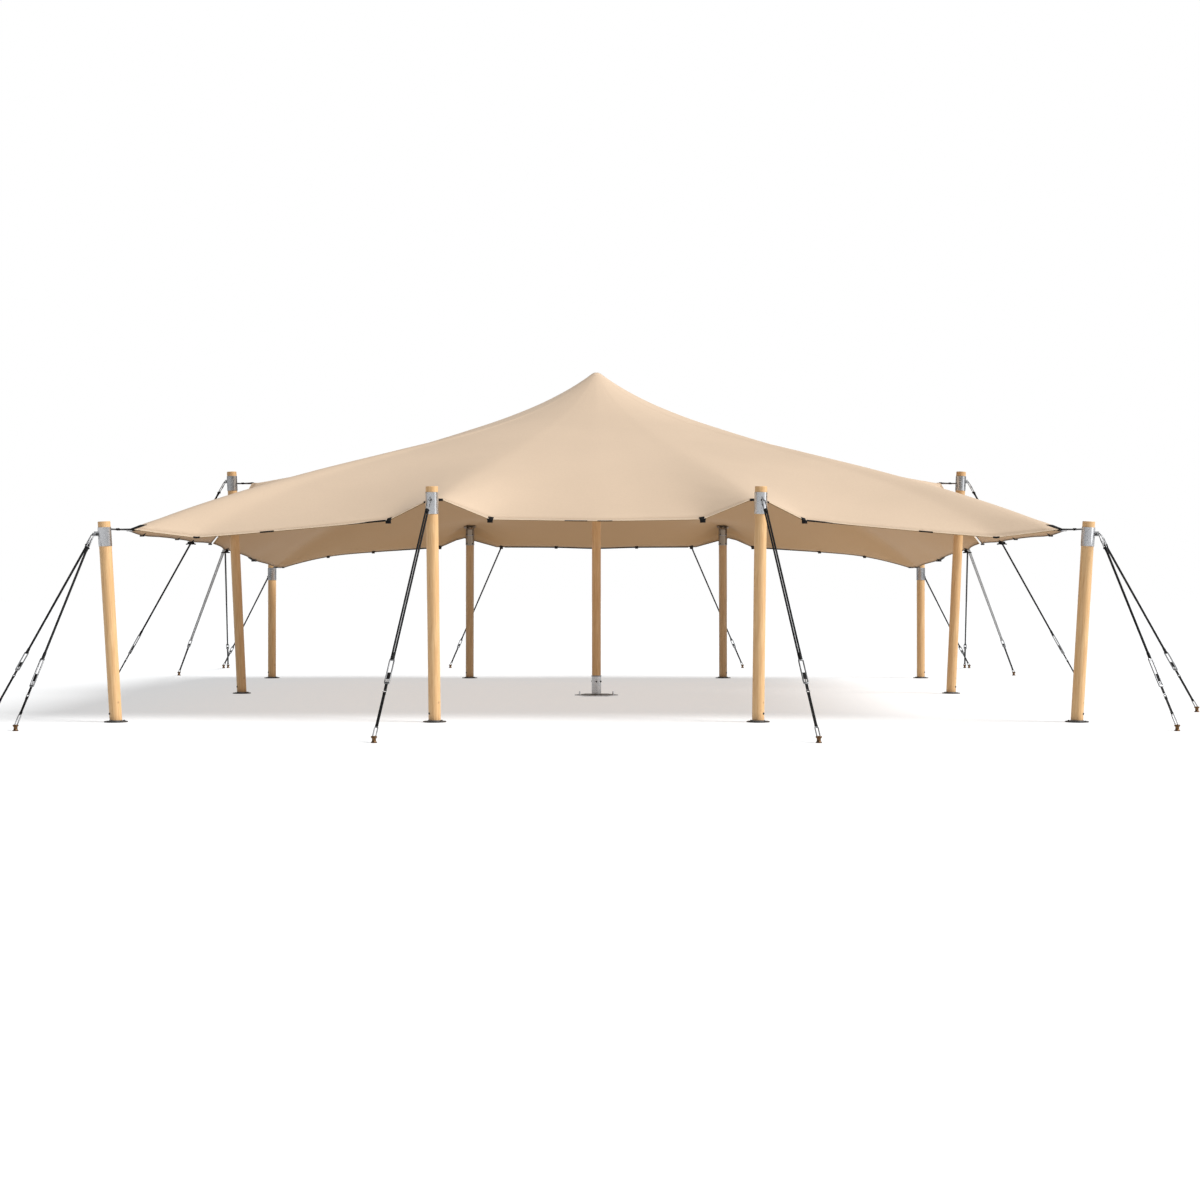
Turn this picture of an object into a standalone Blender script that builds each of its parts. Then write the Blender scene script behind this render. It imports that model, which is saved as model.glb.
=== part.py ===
"""Stretch tent: a sheet of stretch fabric over a tall centre pole, held out by a ring of poles and guys.

Metres, +X right, +Y to the back, +Z up. The origin is under the middle of the centre pole's foot plate.
Sizes are given for the right half; the left half is its mirror image.
"""
import math

import bmesh
import bpy
import numpy as np
from mathutils import Matrix, Vector

UP = Vector((0, 0, 1))
TENT = "stretch_tent"
GAP = 0.0003  # clearance between pieces that touch
WELD = 0.002  # how far a shape reaches into another that it is fused with
MERGE = 1e-6
SHARP = math.radians(35)

# Canopy
PEAK_HEIGHT = 4.353
FABRIC = 0.008
APEX_RADIUS = 0.07
APEX_ROUNDING = 0.026  # how far the rounded tip falls to its edge
HEM_BOW = 0.03  # how far the hem curves in between two fixings, per metre of span
EDGE_STEP = 0.80  # longest facet along the hem
RINGS = (0.04, 0.11, 0.21, 0.34, 0.49, 0.66, 0.82)
TIP_WIDTH = 0.15
RIDGE_FALL = 0.207  # the ridge to a side pole falls by this slope all the way
RIDGE_CROWN = 0.530  # and by this height more near the peak
RIDGE_CROWN_REACH = 1.0

# Poles
POLE_RADIUS = 0.065
CENTRE_POLE_RADIUS = 0.060
POLE_SIDES = 24
POLE_ROUNDING = 0.004
BARE_TOP = 0.062  # timber that stands above a head collar

# Foot plates
FOOT_RADIUS = 0.125
FOOT_THICKNESS = 0.010
CENTRE_FOOT_RADIUS = 0.295
CENTRE_FOOT_THICKNESS = 0.012
CENTRE_SLEEVE_HEIGHT = 0.270
BOLT_RADIUS = 0.012
BOLT_HEIGHT = 0.045
BOLT_REACH = 0.225

# Steel heads
SLEEVE_WALL = 0.004
LUG_REACH = 0.042
LUG_THICKNESS = 0.012
LUG_HEIGHT = 0.050
LUG_LEVEL = 0.35  # the lug's place down the sleeve, as a share of the sleeve
CLAMP_SIZE = (0.060, 0.030, 0.008)
STRUT_RADIUS = 0.008
DISC_RADIUS = 0.096
DISC_THICKNESS = 0.010
PATCH_REACH = 0.115  # the fabric lies flat this far around a disc's middle
DISC_TILT = 0.25  # the disc's fall towards the hem, as a slope
GUSSET_REACH = 0.022
GUSSET_DROP = 0.120
GUSSET_THICKNESS = 0.006
GUSSET_EDGE = 0.016
CAP_CROWN = 0.020  # solid steel over a back pole's end
SWIVEL_DROP = 0.030  # from the disc's underside down to that crown
BOSS_RADIUS = 0.030
CENTRE_CAP_HEIGHT = 0.105
CENTRE_CAP_DROP = 0.0047  # from the fabric's tip down to the cap, which bears on it in a ring
CENTRE_CAP_STEPS = 6

# Guys
LINK_LENGTH = 0.175
LINK_WIDTH = 0.045
LINK_WIRE = 0.0055
LINK_ARC = 3  # facets round each end of a link
ROPE_RADIUS = 0.0075
TWIN_SPACING = 0.013
FRAME_LENGTH = 0.340
FRAME_WIDTH = 0.058
FRAME_WIRE = 0.0065
STRAP_WIDTH = 0.030
STRAP_THICKNESS = 0.006
STAKE_RADIUS = 0.026
STAKE_HEIGHT = 0.062
TAB_SIZE = (0.046, 0.016, 0.022)
SHACKLE_SIZE = (0.024, 0.018, 0.014)
ROPE_END_SIZE = (0.030, 0.018, 0.040)
BUCKLE_SIZE = (0.036, 0.020, 0.032)
PIN_OVERHANG = 0.004
HOOK_LENGTH = 0.100
HOOK_RADII = (0.012, 0.009)
STAKE_TAPER = 0.85

# Hem fixings of the right half, from the middle of the front to the middle of the back
FRONT_HEM = {
    "front_middle": (0.0, -4.98, 2.150),
    "front_inner": (1.14, -5.00, 2.165),
    "front_head": (1.72, -5.05, 2.370),
    "front_outer": (2.23, -5.00, 2.155),
    "front_dip": (4.30, -4.97, 1.970),
    "front_corner": (4.98, -5.03, 2.050),
}
SIDE_HEM = {
    "side_front": (5.03, -4.36, 2.016),
    "side_panel": (5.08, -2.47, 2.035),
    "side_low": (5.12, -1.54, 2.030),
    "side_fore": (5.27, 0.30, 2.062),
    "side_head": (4.72, 0.50, 2.890),
    "side_rear": (5.32, 0.72, 2.070),
    "side_edge": (5.33, 1.62, 2.010),
    "side_back": (5.30, 3.55, 1.900),
    "back_corner": (5.14, 5.00, 1.810),
}
BACK_HEM = {
    "back_outer": (4.36, 5.02, 1.985),
    "back_panel": (3.63, 5.05, 2.060),
    "back_low": (2.56, 5.19, 2.140),
    "back_pole_out": (2.29, 5.16, 2.255),
    "back_pole": (2.158, 5.18, 2.290),
    "back_pole_in": (2.03, 5.16, 2.255),
    "back_edge": (1.555, 5.20, 2.146),
    "back_inner": (0.655, 5.06, 2.138),
    "back_middle": (0.0, 5.04, 2.120),
}
TIPS = {
    "front_corner": "front_corner",
    "front_head": "front",
    "side_head": "side",
    "back_corner": "back_corner",
}
# Ridges, each with how late it leaves the profile to meet its pole
RIDGES = {"front_corner": 4.0, "front_head": 2.3, "side_head": 4.0, "back_corner": 4.0}
TABS = {"side_edge": (1.0, 0.0, 0.0), "back_edge": (0.0, 1.0, 0.0)}  # and the way each is pulled
DISC_CENTRE = (2.05, 4.92)
DISC_HEIGHT = 2.470

# Perimeter poles: foot on the ground and top, and the height of the head's steel sleeve
POLES = {
    "front_corner": ((5.11, -5.16), (5.21, -5.26, 2.130), 0.200),
    "front": ((1.72, -5.16), (1.74, -5.28, 2.500), 0.230),
    "side": ((4.88, 0.50), (5.02, 0.50, 3.050), 0.200),
    "back_corner": ((5.30, 5.16), (5.316, 5.26, 1.860), 0.200),
}
BACK_POLE_FOOT = (2.07, 5.16)
BACK_SLEEVE = 0.250

# Guys: what they start from, the stake's place, single or twin rope, and where the tensioner starts
GUYS = {
    "guy_front_corner_forward": ("front_corner", (5.77, -6.43), False, 0.66),
    "guy_front_corner_side": ("front_corner", (6.94, -3.49), False, 0.66),
    "guy_front": ("front", (2.03, -7.89), True, 0.70),
    "guy_side": ("side", (6.92, 1.40), False, 0.74),
    "guy_side_edge": ("side_edge", (7.04, 6.12), True, 0.70),
    "guy_side_edge_back": ("side_edge", (6.86, 9.30), False, 0.78),
    "guy_back_corner": ("back_corner", (6.93, 9.24), False, 0.78),
    "guy_back_edge": ("back_edge", (2.72, 9.30), False, 0.76),
}
# How far a guy that shares its start with another stands to one side of it
SPREAD = {
    "guy_front_corner_forward": -0.017,
    "guy_front_corner_side": 0.017,
    "guy_side_edge": -0.040,
    "guy_side_edge_back": 0.040,
}

COLOURS = {
    "stretch_fabric": ((0.76, 0.60, 0.43), 0.85, 0.0),
    "honey_timber": ((0.68, 0.42, 0.20), 0.55, 0.0),
    "galvanised_steel": ((0.62, 0.63, 0.64), 0.35, 1.0),
    "dark_steel": ((0.10, 0.10, 0.11), 0.45, 1.0),
    "guy_rope": ((0.02, 0.02, 0.02), 0.80, 0.0),
}


# Scene and materials

def clear_scene():
    for obj in list(bpy.data.objects):
        bpy.data.objects.remove(obj, do_unlink=True)


def make_materials():
    materials = {}
    for name, (colour, roughness, metallic) in COLOURS.items():
        material = bpy.data.materials.new(name)
        material.use_nodes = True
        shader = material.node_tree.nodes["Principled BSDF"]
        shader.inputs["Base Color"].default_value = (*colour, 1)
        shader.inputs["Roughness"].default_value = roughness
        shader.inputs["Metallic"].default_value = metallic
        materials[name] = material
    return materials


def add_object(name, data):
    obj = bpy.data.objects.new(name, data)
    bpy.data.collections[TENT].objects.link(obj)
    return obj


def add_mesh(name, bm):
    mesh = bpy.data.meshes.new(name)
    bm.normal_update()
    bm.to_mesh(mesh)
    bm.free()
    return add_object(name, mesh)


def finish(obj, name, material):
    obj.name = name
    obj.data.name = name
    obj.data.materials.clear()
    obj.data.materials.append(material)
    obj.data.shade_smooth()
    obj.data.set_sharp_from_angle(angle=SHARP)
    return obj


# Basic shapes, each placed between two points

def placed(start, end, side=None):
    """A frame at start whose Z runs to end, and whose X lies as near side as it can."""
    along = (Vector(end) - Vector(start)).normalized()
    hint = Vector(side) if side is not None else (Vector((1, 0, 0)) if abs(along.z) > 0.9 else UP)
    across = (hint - along * hint.dot(along)).normalized()
    turn = Matrix((across, along.cross(across), along)).transposed().to_4x4()
    return Matrix.Translation(Vector(start)) @ turn


def rod(start, end, radius, sides=8, end_radius=None):
    bm = bmesh.new()
    length = (Vector(end) - Vector(start)).length
    bmesh.ops.create_cone(bm, cap_ends=True, segments=sides, radius1=radius,
                          radius2=radius if end_radius is None else end_radius, depth=length)
    bmesh.ops.translate(bm, vec=(0, 0, length / 2), verts=bm.verts)
    bmesh.ops.transform(bm, matrix=placed(start, end), verts=bm.verts)
    return add_mesh("rod", bm)


def bar(start, end, width, thickness, side):
    """A box from start to end, width along side and thickness across it."""
    bm = bmesh.new()
    length = (Vector(end) - Vector(start)).length
    bmesh.ops.create_cube(bm, size=1)
    bmesh.ops.scale(bm, vec=(width, thickness, length), verts=bm.verts)
    bmesh.ops.translate(bm, vec=(0, 0, length / 2), verts=bm.verts)
    bmesh.ops.transform(bm, matrix=placed(start, end, side), verts=bm.verts)
    return add_mesh("bar", bm)


def loop_link(start, end, width, wire, side):
    """A closed link of round wire with half-round ends, from start to end over its outside."""
    length = (Vector(end) - Vector(start)).length
    radius = width / 2 - wire
    near, far = width / 2, length - width / 2
    points = []
    for middle, first in ((near, math.pi), (far, 0.0)):
        for step in range(LINK_ARC + 1):
            angle = first + step * math.pi / LINK_ARC
            points.append((radius * math.cos(angle), 0, middle + radius * math.sin(angle)))
    curve = bpy.data.curves.new("link", "CURVE")
    curve.dimensions = "3D"
    curve.bevel_depth = wire
    curve.bevel_resolution = 1
    spline = curve.splines.new("POLY")
    spline.points.add(len(points) - 1)
    for point, co in zip(spline.points, points):
        point.co = (*co, 1)
    spline.use_cyclic_u = True
    obj = add_object("link", curve)
    obj.matrix_world = placed(start, end, side)
    return as_mesh(obj)


def turned(profile, matrix, closed=False):
    """A profile of (radius, height) points turned about Z, then placed by matrix.

    The profile runs from the axis to the axis, or is a closed ring.
    """
    bm = bmesh.new()
    verts = [bm.verts.new((r, 0, z)) for r, z in profile]
    ends = verts[1:] + verts[:1] if closed else verts[1:]
    edges = [bm.edges.new(pair) for pair in zip(verts, ends)]
    bmesh.ops.spin(bm, geom=verts + edges, angle=math.tau, steps=POLE_SIDES, axis=UP, cent=(0, 0, 0))
    bmesh.ops.remove_doubles(bm, verts=bm.verts, dist=MERGE)
    bmesh.ops.recalc_face_normals(bm, faces=bm.faces)
    bmesh.ops.transform(bm, matrix=matrix, verts=bm.verts)
    return add_mesh("turned", bm)


def as_mesh(obj):
    """The object with its modifiers applied, in world space; a curve becomes a mesh."""
    graph = bpy.context.evaluated_depsgraph_get()
    graph.update()
    mesh = bpy.data.meshes.new_from_object(obj.evaluated_get(graph))
    mesh.transform(obj.matrix_world)
    bm = bmesh.new()
    bm.from_mesh(mesh)
    bmesh.ops.remove_doubles(bm, verts=bm.verts, dist=MERGE)
    bm.to_mesh(mesh)
    bm.free()
    made = add_object(obj.name, mesh)
    bpy.data.objects.remove(obj)
    return made


def fuse(name, shapes, material):
    """One closed body from shapes that overlap, by Boolean union."""
    body = shapes[0]
    for other in shapes[1:]:
        union = body.modifiers.new("join", "BOOLEAN")
        union.operation = "UNION"
        union.solver = "EXACT"
        union.object = other
    body = as_mesh(body)
    for other in shapes[1:]:
        bpy.data.objects.remove(other)
    return finish(body, name, material)


# Canopy

def right_hem():
    """Hem points of the right half, from front to back, and the fixing that each belongs to."""
    corners = []
    for name, place in {**FRONT_HEM, **SIDE_HEM, **BACK_HEM}.items():
        place = np.array(place)
        if name not in TIPS and name not in TABS:
            corners.append((name, place))
            continue
        out = pull_direction(name)
        along = np.array((-out[1], out[0], 0.0)) * TIP_WIDTH / 2
        corners += [(name, place - along), (name, place + along)]
    points, names = [], []
    for (name, a), (_, b) in zip(corners, corners[1:]):
        span = np.linalg.norm(b - a)
        steps = max(1, math.ceil(span / EDGE_STEP))
        inward = -np.array(((a + b)[0], (a + b)[1], 0.0))
        inward /= np.linalg.norm(inward)
        bow = HEM_BOW * span if steps > 1 else 0.0
        for k in range(steps):
            t = k / steps
            points.append(a + (b - a) * t + inward * bow * 4 * t * (1 - t))
            names.append(name if k == 0 else None)
    points.append(corners[-1][1])
    names.append(corners[-1][0])
    return points, names


def pull_direction(name):
    """The level direction in which a pole or a guy pulls a fixing on the hem, for the right half."""
    if name in TABS:
        return np.array(TABS[name])
    place = {**FRONT_HEM, **SIDE_HEM}[name]
    base, top, _ = POLES[TIPS[name]]
    share = place[2] / top[2]
    out = np.array([base[i] + (top[i] - base[i]) * share - place[i] for i in range(2)] + [0.0])
    return out / np.linalg.norm(out)


def canopy_plan():
    """The whole hem, each point's fixing, its distance from the peak, and the shares at which rings lie."""
    right, names = right_hem()
    left = [np.array((-p[0], p[1], p[2])) for p in right[-2:0:-1]]
    hem = np.array(right + left)
    names = names + names[-2:0:-1]
    distance = np.linalg.norm(hem[:, :2], axis=1)
    reach = math.hypot(*DISC_CENTRE) - APEX_RADIUS
    span = distance[names.index("back_pole")] - APEX_RADIUS
    disc_rings = [(reach + offset) / span for offset in (-PATCH_REACH, 0, PATCH_REACH)]
    return hem, names, distance, [0.0, *RINGS, *disc_rings, 1.0]


def ridge_height(distance):
    """The height of the ridge between the peak and a side pole."""
    beyond = max(distance - APEX_RADIUS, 0.0)
    fall = RIDGE_CROWN * (1 - math.exp(-beyond / RIDGE_CROWN_REACH)) + RIDGE_FALL * beyond
    return PEAK_HEIGHT - APEX_ROUNDING * min(distance / APEX_RADIUS, 1.0) ** 2 - fall


def relax(plan, faces, drop, held):
    """How far a net in even tension hangs below the ridge's profile, held at some points."""
    count = len(plan)
    matrix = np.zeros((count, count))
    for face in faces:
        for i, j, k in (face, face[1:] + face[:1], face[2:] + face[:2]):
            u, v = plan[i] - plan[k], plan[j] - plan[k]
            weight = u @ v / abs(u[0] * v[1] - u[1] * v[0]) / 2
            matrix[i, j] -= weight
            matrix[j, i] -= weight
            matrix[i, i] += weight
            matrix[j, j] += weight
    free = ~held
    pull = -matrix[np.ix_(free, held)] @ drop[held]
    drop[free] = np.linalg.solve(matrix[np.ix_(free, free)], pull)
    return drop


def canopy_net():
    """Points and faces of the canopy's upper surface, and the middle of the right back pole's disc."""
    hem, names, distance, shares = canopy_plan()
    rays, rings = len(hem), len(shares)
    plan, drop, held = [np.zeros(2)], [0.0], [True]
    for j, share in enumerate(shares):
        for k in range(rays):
            radius = APEX_RADIUS + (distance[k] - APEX_RADIUS) * share
            plan.append(hem[k, :2] / distance[k] * radius)
            at_hem = hem[k, 2] - ridge_height(distance[k])
            drop.append(at_hem * share ** RIDGES.get(names[k], 1.0))
            held.append(j in (0, rings - 1) or names[k] in RIDGES)
    plan, drop, held = np.array(plan), np.array(drop), np.array(held)
    profile = np.array([ridge_height(np.linalg.norm(p)) for p in plan])

    def point(j, k):
        return 1 + j * rays + k % rays

    disc_points = []
    for ray in [k for k in range(rays) if names[k] == "back_pole"]:
        centre = point(rings - 3, ray)
        fall = plan[centre] / np.linalg.norm(plan[centre]) * DISC_TILT
        disc_points.append(centre)
        for j in (rings - 4, rings - 3, rings - 2):
            for k in (ray - 1, ray, ray + 1):
                i = point(j, k)
                drop[i] = DISC_HEIGHT - (plan[i] - plan[centre]) @ fall - profile[i]
                held[i] = True
    quads = [(point(j, k), point(j + 1, k), point(j + 1, k + 1), point(j, k + 1))
             for j in range(rings - 1) for k in range(rays)]
    fan = [(0, point(0, k), point(0, k + 1)) for k in range(rays)]
    triangles = fan + [t for a, b, c, d in quads for t in ((a, b, c), (a, c, d))]
    heights = profile + relax(plan, triangles, drop, held)
    points = np.column_stack((plan, heights))
    return points, fan + quads, Vector(points[disc_points[0]])


def build_canopy(material):
    points, faces, disc = canopy_net()
    bm = bmesh.new()
    verts = [bm.verts.new(p) for p in points]
    for face in faces:
        bm.faces.new([verts[i] for i in face])
    bmesh.ops.recalc_face_normals(bm, faces=bm.faces)
    if sum(f.normal.z for f in bm.faces) < 0:
        bmesh.ops.reverse_faces(bm, faces=bm.faces)
    canopy = finish(add_mesh("canopy", bm), "canopy", material)
    shell = canopy.modifiers.new("thickness", "SOLIDIFY")
    shell.thickness = FABRIC
    shell.offset = -1
    return disc


# Poles and what stands on and under them

def pole_line(foot, top, side):
    start = Vector((foot[0] * side, foot[1], FOOT_THICKNESS + GAP))
    return start, Vector((top[0] * side, top[1], top[2]))


def build_pole(name, start, end, radius, material):
    """A round pole whose lower end lies flat on its plate."""
    along = (end - start).normalized()
    bm = bmesh.new()
    bmesh.ops.create_cone(bm, cap_ends=True, segments=POLE_SIDES, radius1=radius, radius2=radius,
                          depth=(end - start).length)
    bmesh.ops.translate(bm, vec=(0, 0, (end - start).length / 2), verts=bm.verts)
    bmesh.ops.transform(bm, matrix=placed(start, end), verts=bm.verts)
    for vert in bm.verts:
        if vert.co.z < start.z + radius:
            vert.co -= along * ((vert.co.z - start.z) / along.z)
    rim = [e for e in bm.edges if all((v.co - end).dot(along) > -0.001 for v in e.verts)]
    bmesh.ops.bevel(bm, geom=rim, offset=POLE_ROUNDING, segments=1, affect="EDGES")
    return finish(add_mesh(name, bm), name, material)


def build_foot(name, foot, side, material):
    """A round plate with a bevelled rim."""
    radius, thickness = FOOT_RADIUS, FOOT_THICKNESS
    bevel = thickness * 0.4
    profile = ((0, 0), (radius, 0), (radius, thickness - bevel), (radius - bevel, thickness), (0, thickness))
    plate = turned(profile, Matrix.Translation((foot[0] * side, foot[1], 0)))
    return finish(plate, name, material)


def sleeve_radii(pole_radius):
    """Inner and outer corner radius of a tube that fits round a pole."""
    inner = pole_radius + GAP * 1.5
    return inner, inner + SLEEVE_WALL


def sleeve(start, end, pole_radius):
    """A tube that fits round a pole."""
    length = (end - start).length
    inner, outer = sleeve_radii(pole_radius)
    profile = ((inner, 0), (outer, 0), (outer, length), (inner, length))
    return turned(profile, placed(start, end), closed=True)


def level(vector):
    return Vector((vector[0], vector[1], 0)).normalized()


def tip_place(name, side):
    """The middle of a pole's fixing on the hem, and the level direction that it is pulled in."""
    place = {**FRONT_HEM, **SIDE_HEM}[name]
    out = pull_direction(name)
    return Vector((place[0] * side, place[1], place[2])), Vector((out[0] * side, out[1], 0))


def lug_direction(pole, side):
    """The level direction in which a head's outer lug points."""
    _, top, _ = POLES[pole]
    towards = Vector((0, 0, 0))
    for start, stake, _, _ in GUYS.values():
        if start == pole:
            towards += level((stake[0] - top[0], stake[1] - top[1]))
    towards = level(towards)
    return Vector((towards.x * side, towards.y, 0))


def lug_place(pole, side):
    """The outer end of a head's lug."""
    foot, top, height = POLES[pole]
    start, end = pole_line(foot, top, side)
    along = (end - start).normalized()
    middle = end - along * (BARE_TOP + height * LUG_LEVEL)
    return middle + lug_direction(pole, side) * (POLE_RADIUS + SLEEVE_WALL + LUG_REACH)


def build_collar(name, pole, side, material):
    """A sleeve with a lug for the guy and a strut with a clamp that holds the fabric."""
    foot, top, height = POLES[pole]
    start, end = pole_line(foot, top, side)
    along = (end - start).normalized()
    upper = end - along * BARE_TOP
    tube = sleeve(upper - along * height, upper, POLE_RADIUS)
    outer = lug_place(pole, side)
    wall = POLE_RADIUS + GAP + SLEEVE_WALL / 2
    inner = outer - lug_direction(pole, side) * (POLE_RADIUS + SLEEVE_WALL + LUG_REACH - wall - WELD)
    lug = bar(inner, outer, LUG_HEIGHT, LUG_THICKNESS, UP)
    tip, pull = tip_place(pole if "corner" in pole else pole + "_head", side)
    clamp_face = tip + pull * GAP * 2 - UP * FABRIC / 2
    width, height, depth = CLAMP_SIZE
    clamp = bar(clamp_face, clamp_face + pull * depth, width, height, UP.cross(pull))
    centre = start + along * ((clamp_face.z - start.z) / along.z)
    strut = rod(clamp_face + pull * depth / 2, centre - pull * (wall + WELD), STRUT_RADIUS)
    return fuse(name, [tube, lug, strut, clamp], material)


def build_disc_cap(name, disc, side, material):
    """A tilted disc on a sleeve with four gussets, which carries the fabric; and its pole's ends."""
    centre = Vector((disc.x * side, disc.y, disc.z))
    out = level(centre)
    normal = (UP + out * DISC_TILT).normalized()
    top = centre - normal * (FABRIC + GAP)
    under = top - normal * DISC_THICKNESS
    foot = Vector((BACK_POLE_FOOT[0] * side, BACK_POLE_FOOT[1], FOOT_THICKNESS + GAP))
    pole_end = under - UP * (SWIVEL_DROP + CAP_CROWN)
    along = (pole_end - foot).normalized()
    low_end = pole_end - along * (BACK_SLEEVE - CAP_CROWN)
    bore = (pole_end - low_end).length + GAP
    inner, outer = sleeve_radii(POLE_RADIUS)
    top_of_socket = bore + CAP_CROWN
    profile = ((0, top_of_socket), (outer, top_of_socket), (outer, 0), (inner, 0), (inner, bore), (0, bore))
    socket = turned(profile, placed(low_end, pole_end))
    boss = rod(pole_end + along * CAP_CROWN * 0.6, under + UP * WELD, BOSS_RADIUS, 12)
    shapes = [socket, boss, rod(under, top, DISC_RADIUS, POLE_SIDES)]

    def into_disc(point):
        """The point moved up or down to lie inside the disc."""
        fall = (point - under).dot(out) * DISC_TILT
        return Vector((point.x, point.y, under.z - fall + DISC_THICKNESS * 0.4))

    for quarter in range(4):
        angle = math.pi * (quarter / 2 + 0.25)
        spoke = Vector((math.cos(angle), math.sin(angle), 0))
        root = pole_end + spoke * (inner + outer) / 2
        low, high = root - along * GUSSET_DROP, root + along * (SWIVEL_DROP + CAP_CROWN)
        shapes.append(gusset(low, into_disc(high), into_disc(high + spoke * GUSSET_REACH), spoke))
    fuse(name, shapes, material)
    return foot, pole_end


def gusset(low, high, outer, spoke):
    """A thin plate that widens from low up to the edge from high to outer."""
    bm = bmesh.new()
    side = UP.cross(spoke) * GUSSET_THICKNESS / 2
    foot = low + spoke * GUSSET_THICKNESS
    near = [bm.verts.new(p - side) for p in (low, foot, outer - UP * GUSSET_EDGE, outer, high)]
    bm.faces.new(near)
    made = bmesh.ops.extrude_face_region(bm, geom=bm.faces[:])
    moved = [v for v in made["geom"] if isinstance(v, bmesh.types.BMVert)]
    bmesh.ops.translate(bm, vec=side * 2, verts=moved)
    bmesh.ops.recalc_face_normals(bm, faces=bm.faces)
    return add_mesh("gusset", bm)


# Centre pole

def build_centre(materials):
    plate_top = CENTRE_FOOT_THICKNESS
    cap_top = PEAK_HEIGHT - FABRIC - CENTRE_CAP_DROP
    pole_top = cap_top - CENTRE_CAP_HEIGHT
    radius = CENTRE_POLE_RADIUS
    build_pole("centre_pole", UP * (plate_top + GAP), UP * pole_top, radius, materials["honey_timber"])
    plate = rod((0, 0, 0), UP * plate_top, CENTRE_FOOT_RADIUS, 6)
    plate.data.transform(Matrix.Rotation(math.pi / 6, 4, "Z"))
    shapes = [plate, sleeve(UP * (plate_top - WELD), UP * CENTRE_SLEEVE_HEIGHT, radius)]
    for side in (-1, 1):
        place = Vector((BOLT_REACH * side, 0, plate_top - WELD))
        shapes.append(rod(place, place + UP * BOLT_HEIGHT, BOLT_RADIUS, 6))
    fuse("centre_pole_foot", shapes, materials["galvanised_steel"])
    dome = CENTRE_CAP_HEIGHT / 2
    profile = [(0, pole_top + GAP), (radius, pole_top + GAP), (radius, pole_top + dome)]
    for step in range(1, CENTRE_CAP_STEPS):
        angle = step / CENTRE_CAP_STEPS * math.pi / 2
        profile.append((radius * math.cos(angle), pole_top + dome + dome * math.sin(angle)))
    profile.append((0, cap_top))
    finish(turned(profile, Matrix.Identity(4)), "centre_pole_cap", materials["dark_steel"])


# Guys

def guy_start(start, side):
    """Where a guy starts: on a head's lug, or at a tab on the hem; and the level direction out."""
    if start in POLES:
        out = lug_direction(start, side)
        return lug_place(start, side) + out * GAP * 1.5, out
    place = {**SIDE_HEM, **BACK_HEM}[start]
    out = Vector((TABS[start][0] * side, *TABS[start][1:]))
    return Vector((place[0] * side, place[1], place[2])) + out * GAP * 2 - UP * FABRIC / 2, out


def build_guy(name, side, material):
    """Link or tab, rope, tensioner, strap, hook and stake, in one line down to the ground."""
    start_name, stake, twin, tension_at = GUYS[name]
    start, out = guy_start(start_name, side)
    across = UP.cross(out).normalized()
    start = start + across * SPREAD.get(name, 0) * side
    ground = Vector((stake[0] * side, stake[1], 0))
    eye = ground + UP * STAKE_HEIGHT * 0.8
    on_pole = start_name in POLES
    fitting = SHACKLE_SIZE if on_pole else TAB_SIZE
    first = start + out * fitting[2] / 2
    along = (eye - first).normalized()
    length = (eye - first).length
    flat = along.cross(out).normalized() if on_pole else across
    frame_from = length * tension_at
    frame_to = frame_from + FRAME_LENGTH
    strap_to = length - HOOK_LENGTH

    def at(distance, aside=0.0):
        return first + along * distance + flat * aside

    def block(distance, size):
        width, height, depth = size
        return bar(at(distance - depth / 2), at(distance + depth / 2), width, height, flat)

    shapes = [bar(start, start + out * fitting[2], fitting[0], fitting[1], across)]
    rope_from = 0.0
    if on_pole:
        shapes.append(loop_link(at(0), at(LINK_LENGTH), LINK_WIDTH, LINK_WIRE, flat))
        rope_from = LINK_LENGTH - LINK_WIRE
    for aside in (-TWIN_SPACING, TWIN_SPACING) if twin else (0.0,):
        shapes.append(rod(at(rope_from, aside), at(frame_from + FRAME_WIRE, aside), ROPE_RADIUS, 6))
    if twin:
        reach = TWIN_SPACING + PIN_OVERHANG
        shapes.append(rod(at(rope_from, -reach), at(rope_from, reach), ROPE_RADIUS * 1.4, 6))
    shapes.append(block(frame_from + FRAME_WIRE, ROPE_END_SIZE))
    shapes.append(loop_link(at(frame_from), at(frame_to), FRAME_WIDTH, FRAME_WIRE, flat))
    shapes.append(bar(at(frame_to - FRAME_WIDTH), at(strap_to), STRAP_WIDTH, STRAP_THICKNESS, flat))
    shapes.append(block(frame_to - FRAME_WIRE, BUCKLE_SIZE))
    shapes.append(rod(at(strap_to - HOOK_RADII[0]), eye, HOOK_RADII[0], end_radius=HOOK_RADII[1]))
    stake_top = ground + UP * STAKE_HEIGHT
    shapes.append(rod(ground, stake_top, STAKE_RADIUS, end_radius=STAKE_RADIUS * STAKE_TAPER))
    return fuse(name + ("_left" if side < 0 else "_right"), shapes, material)


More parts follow.
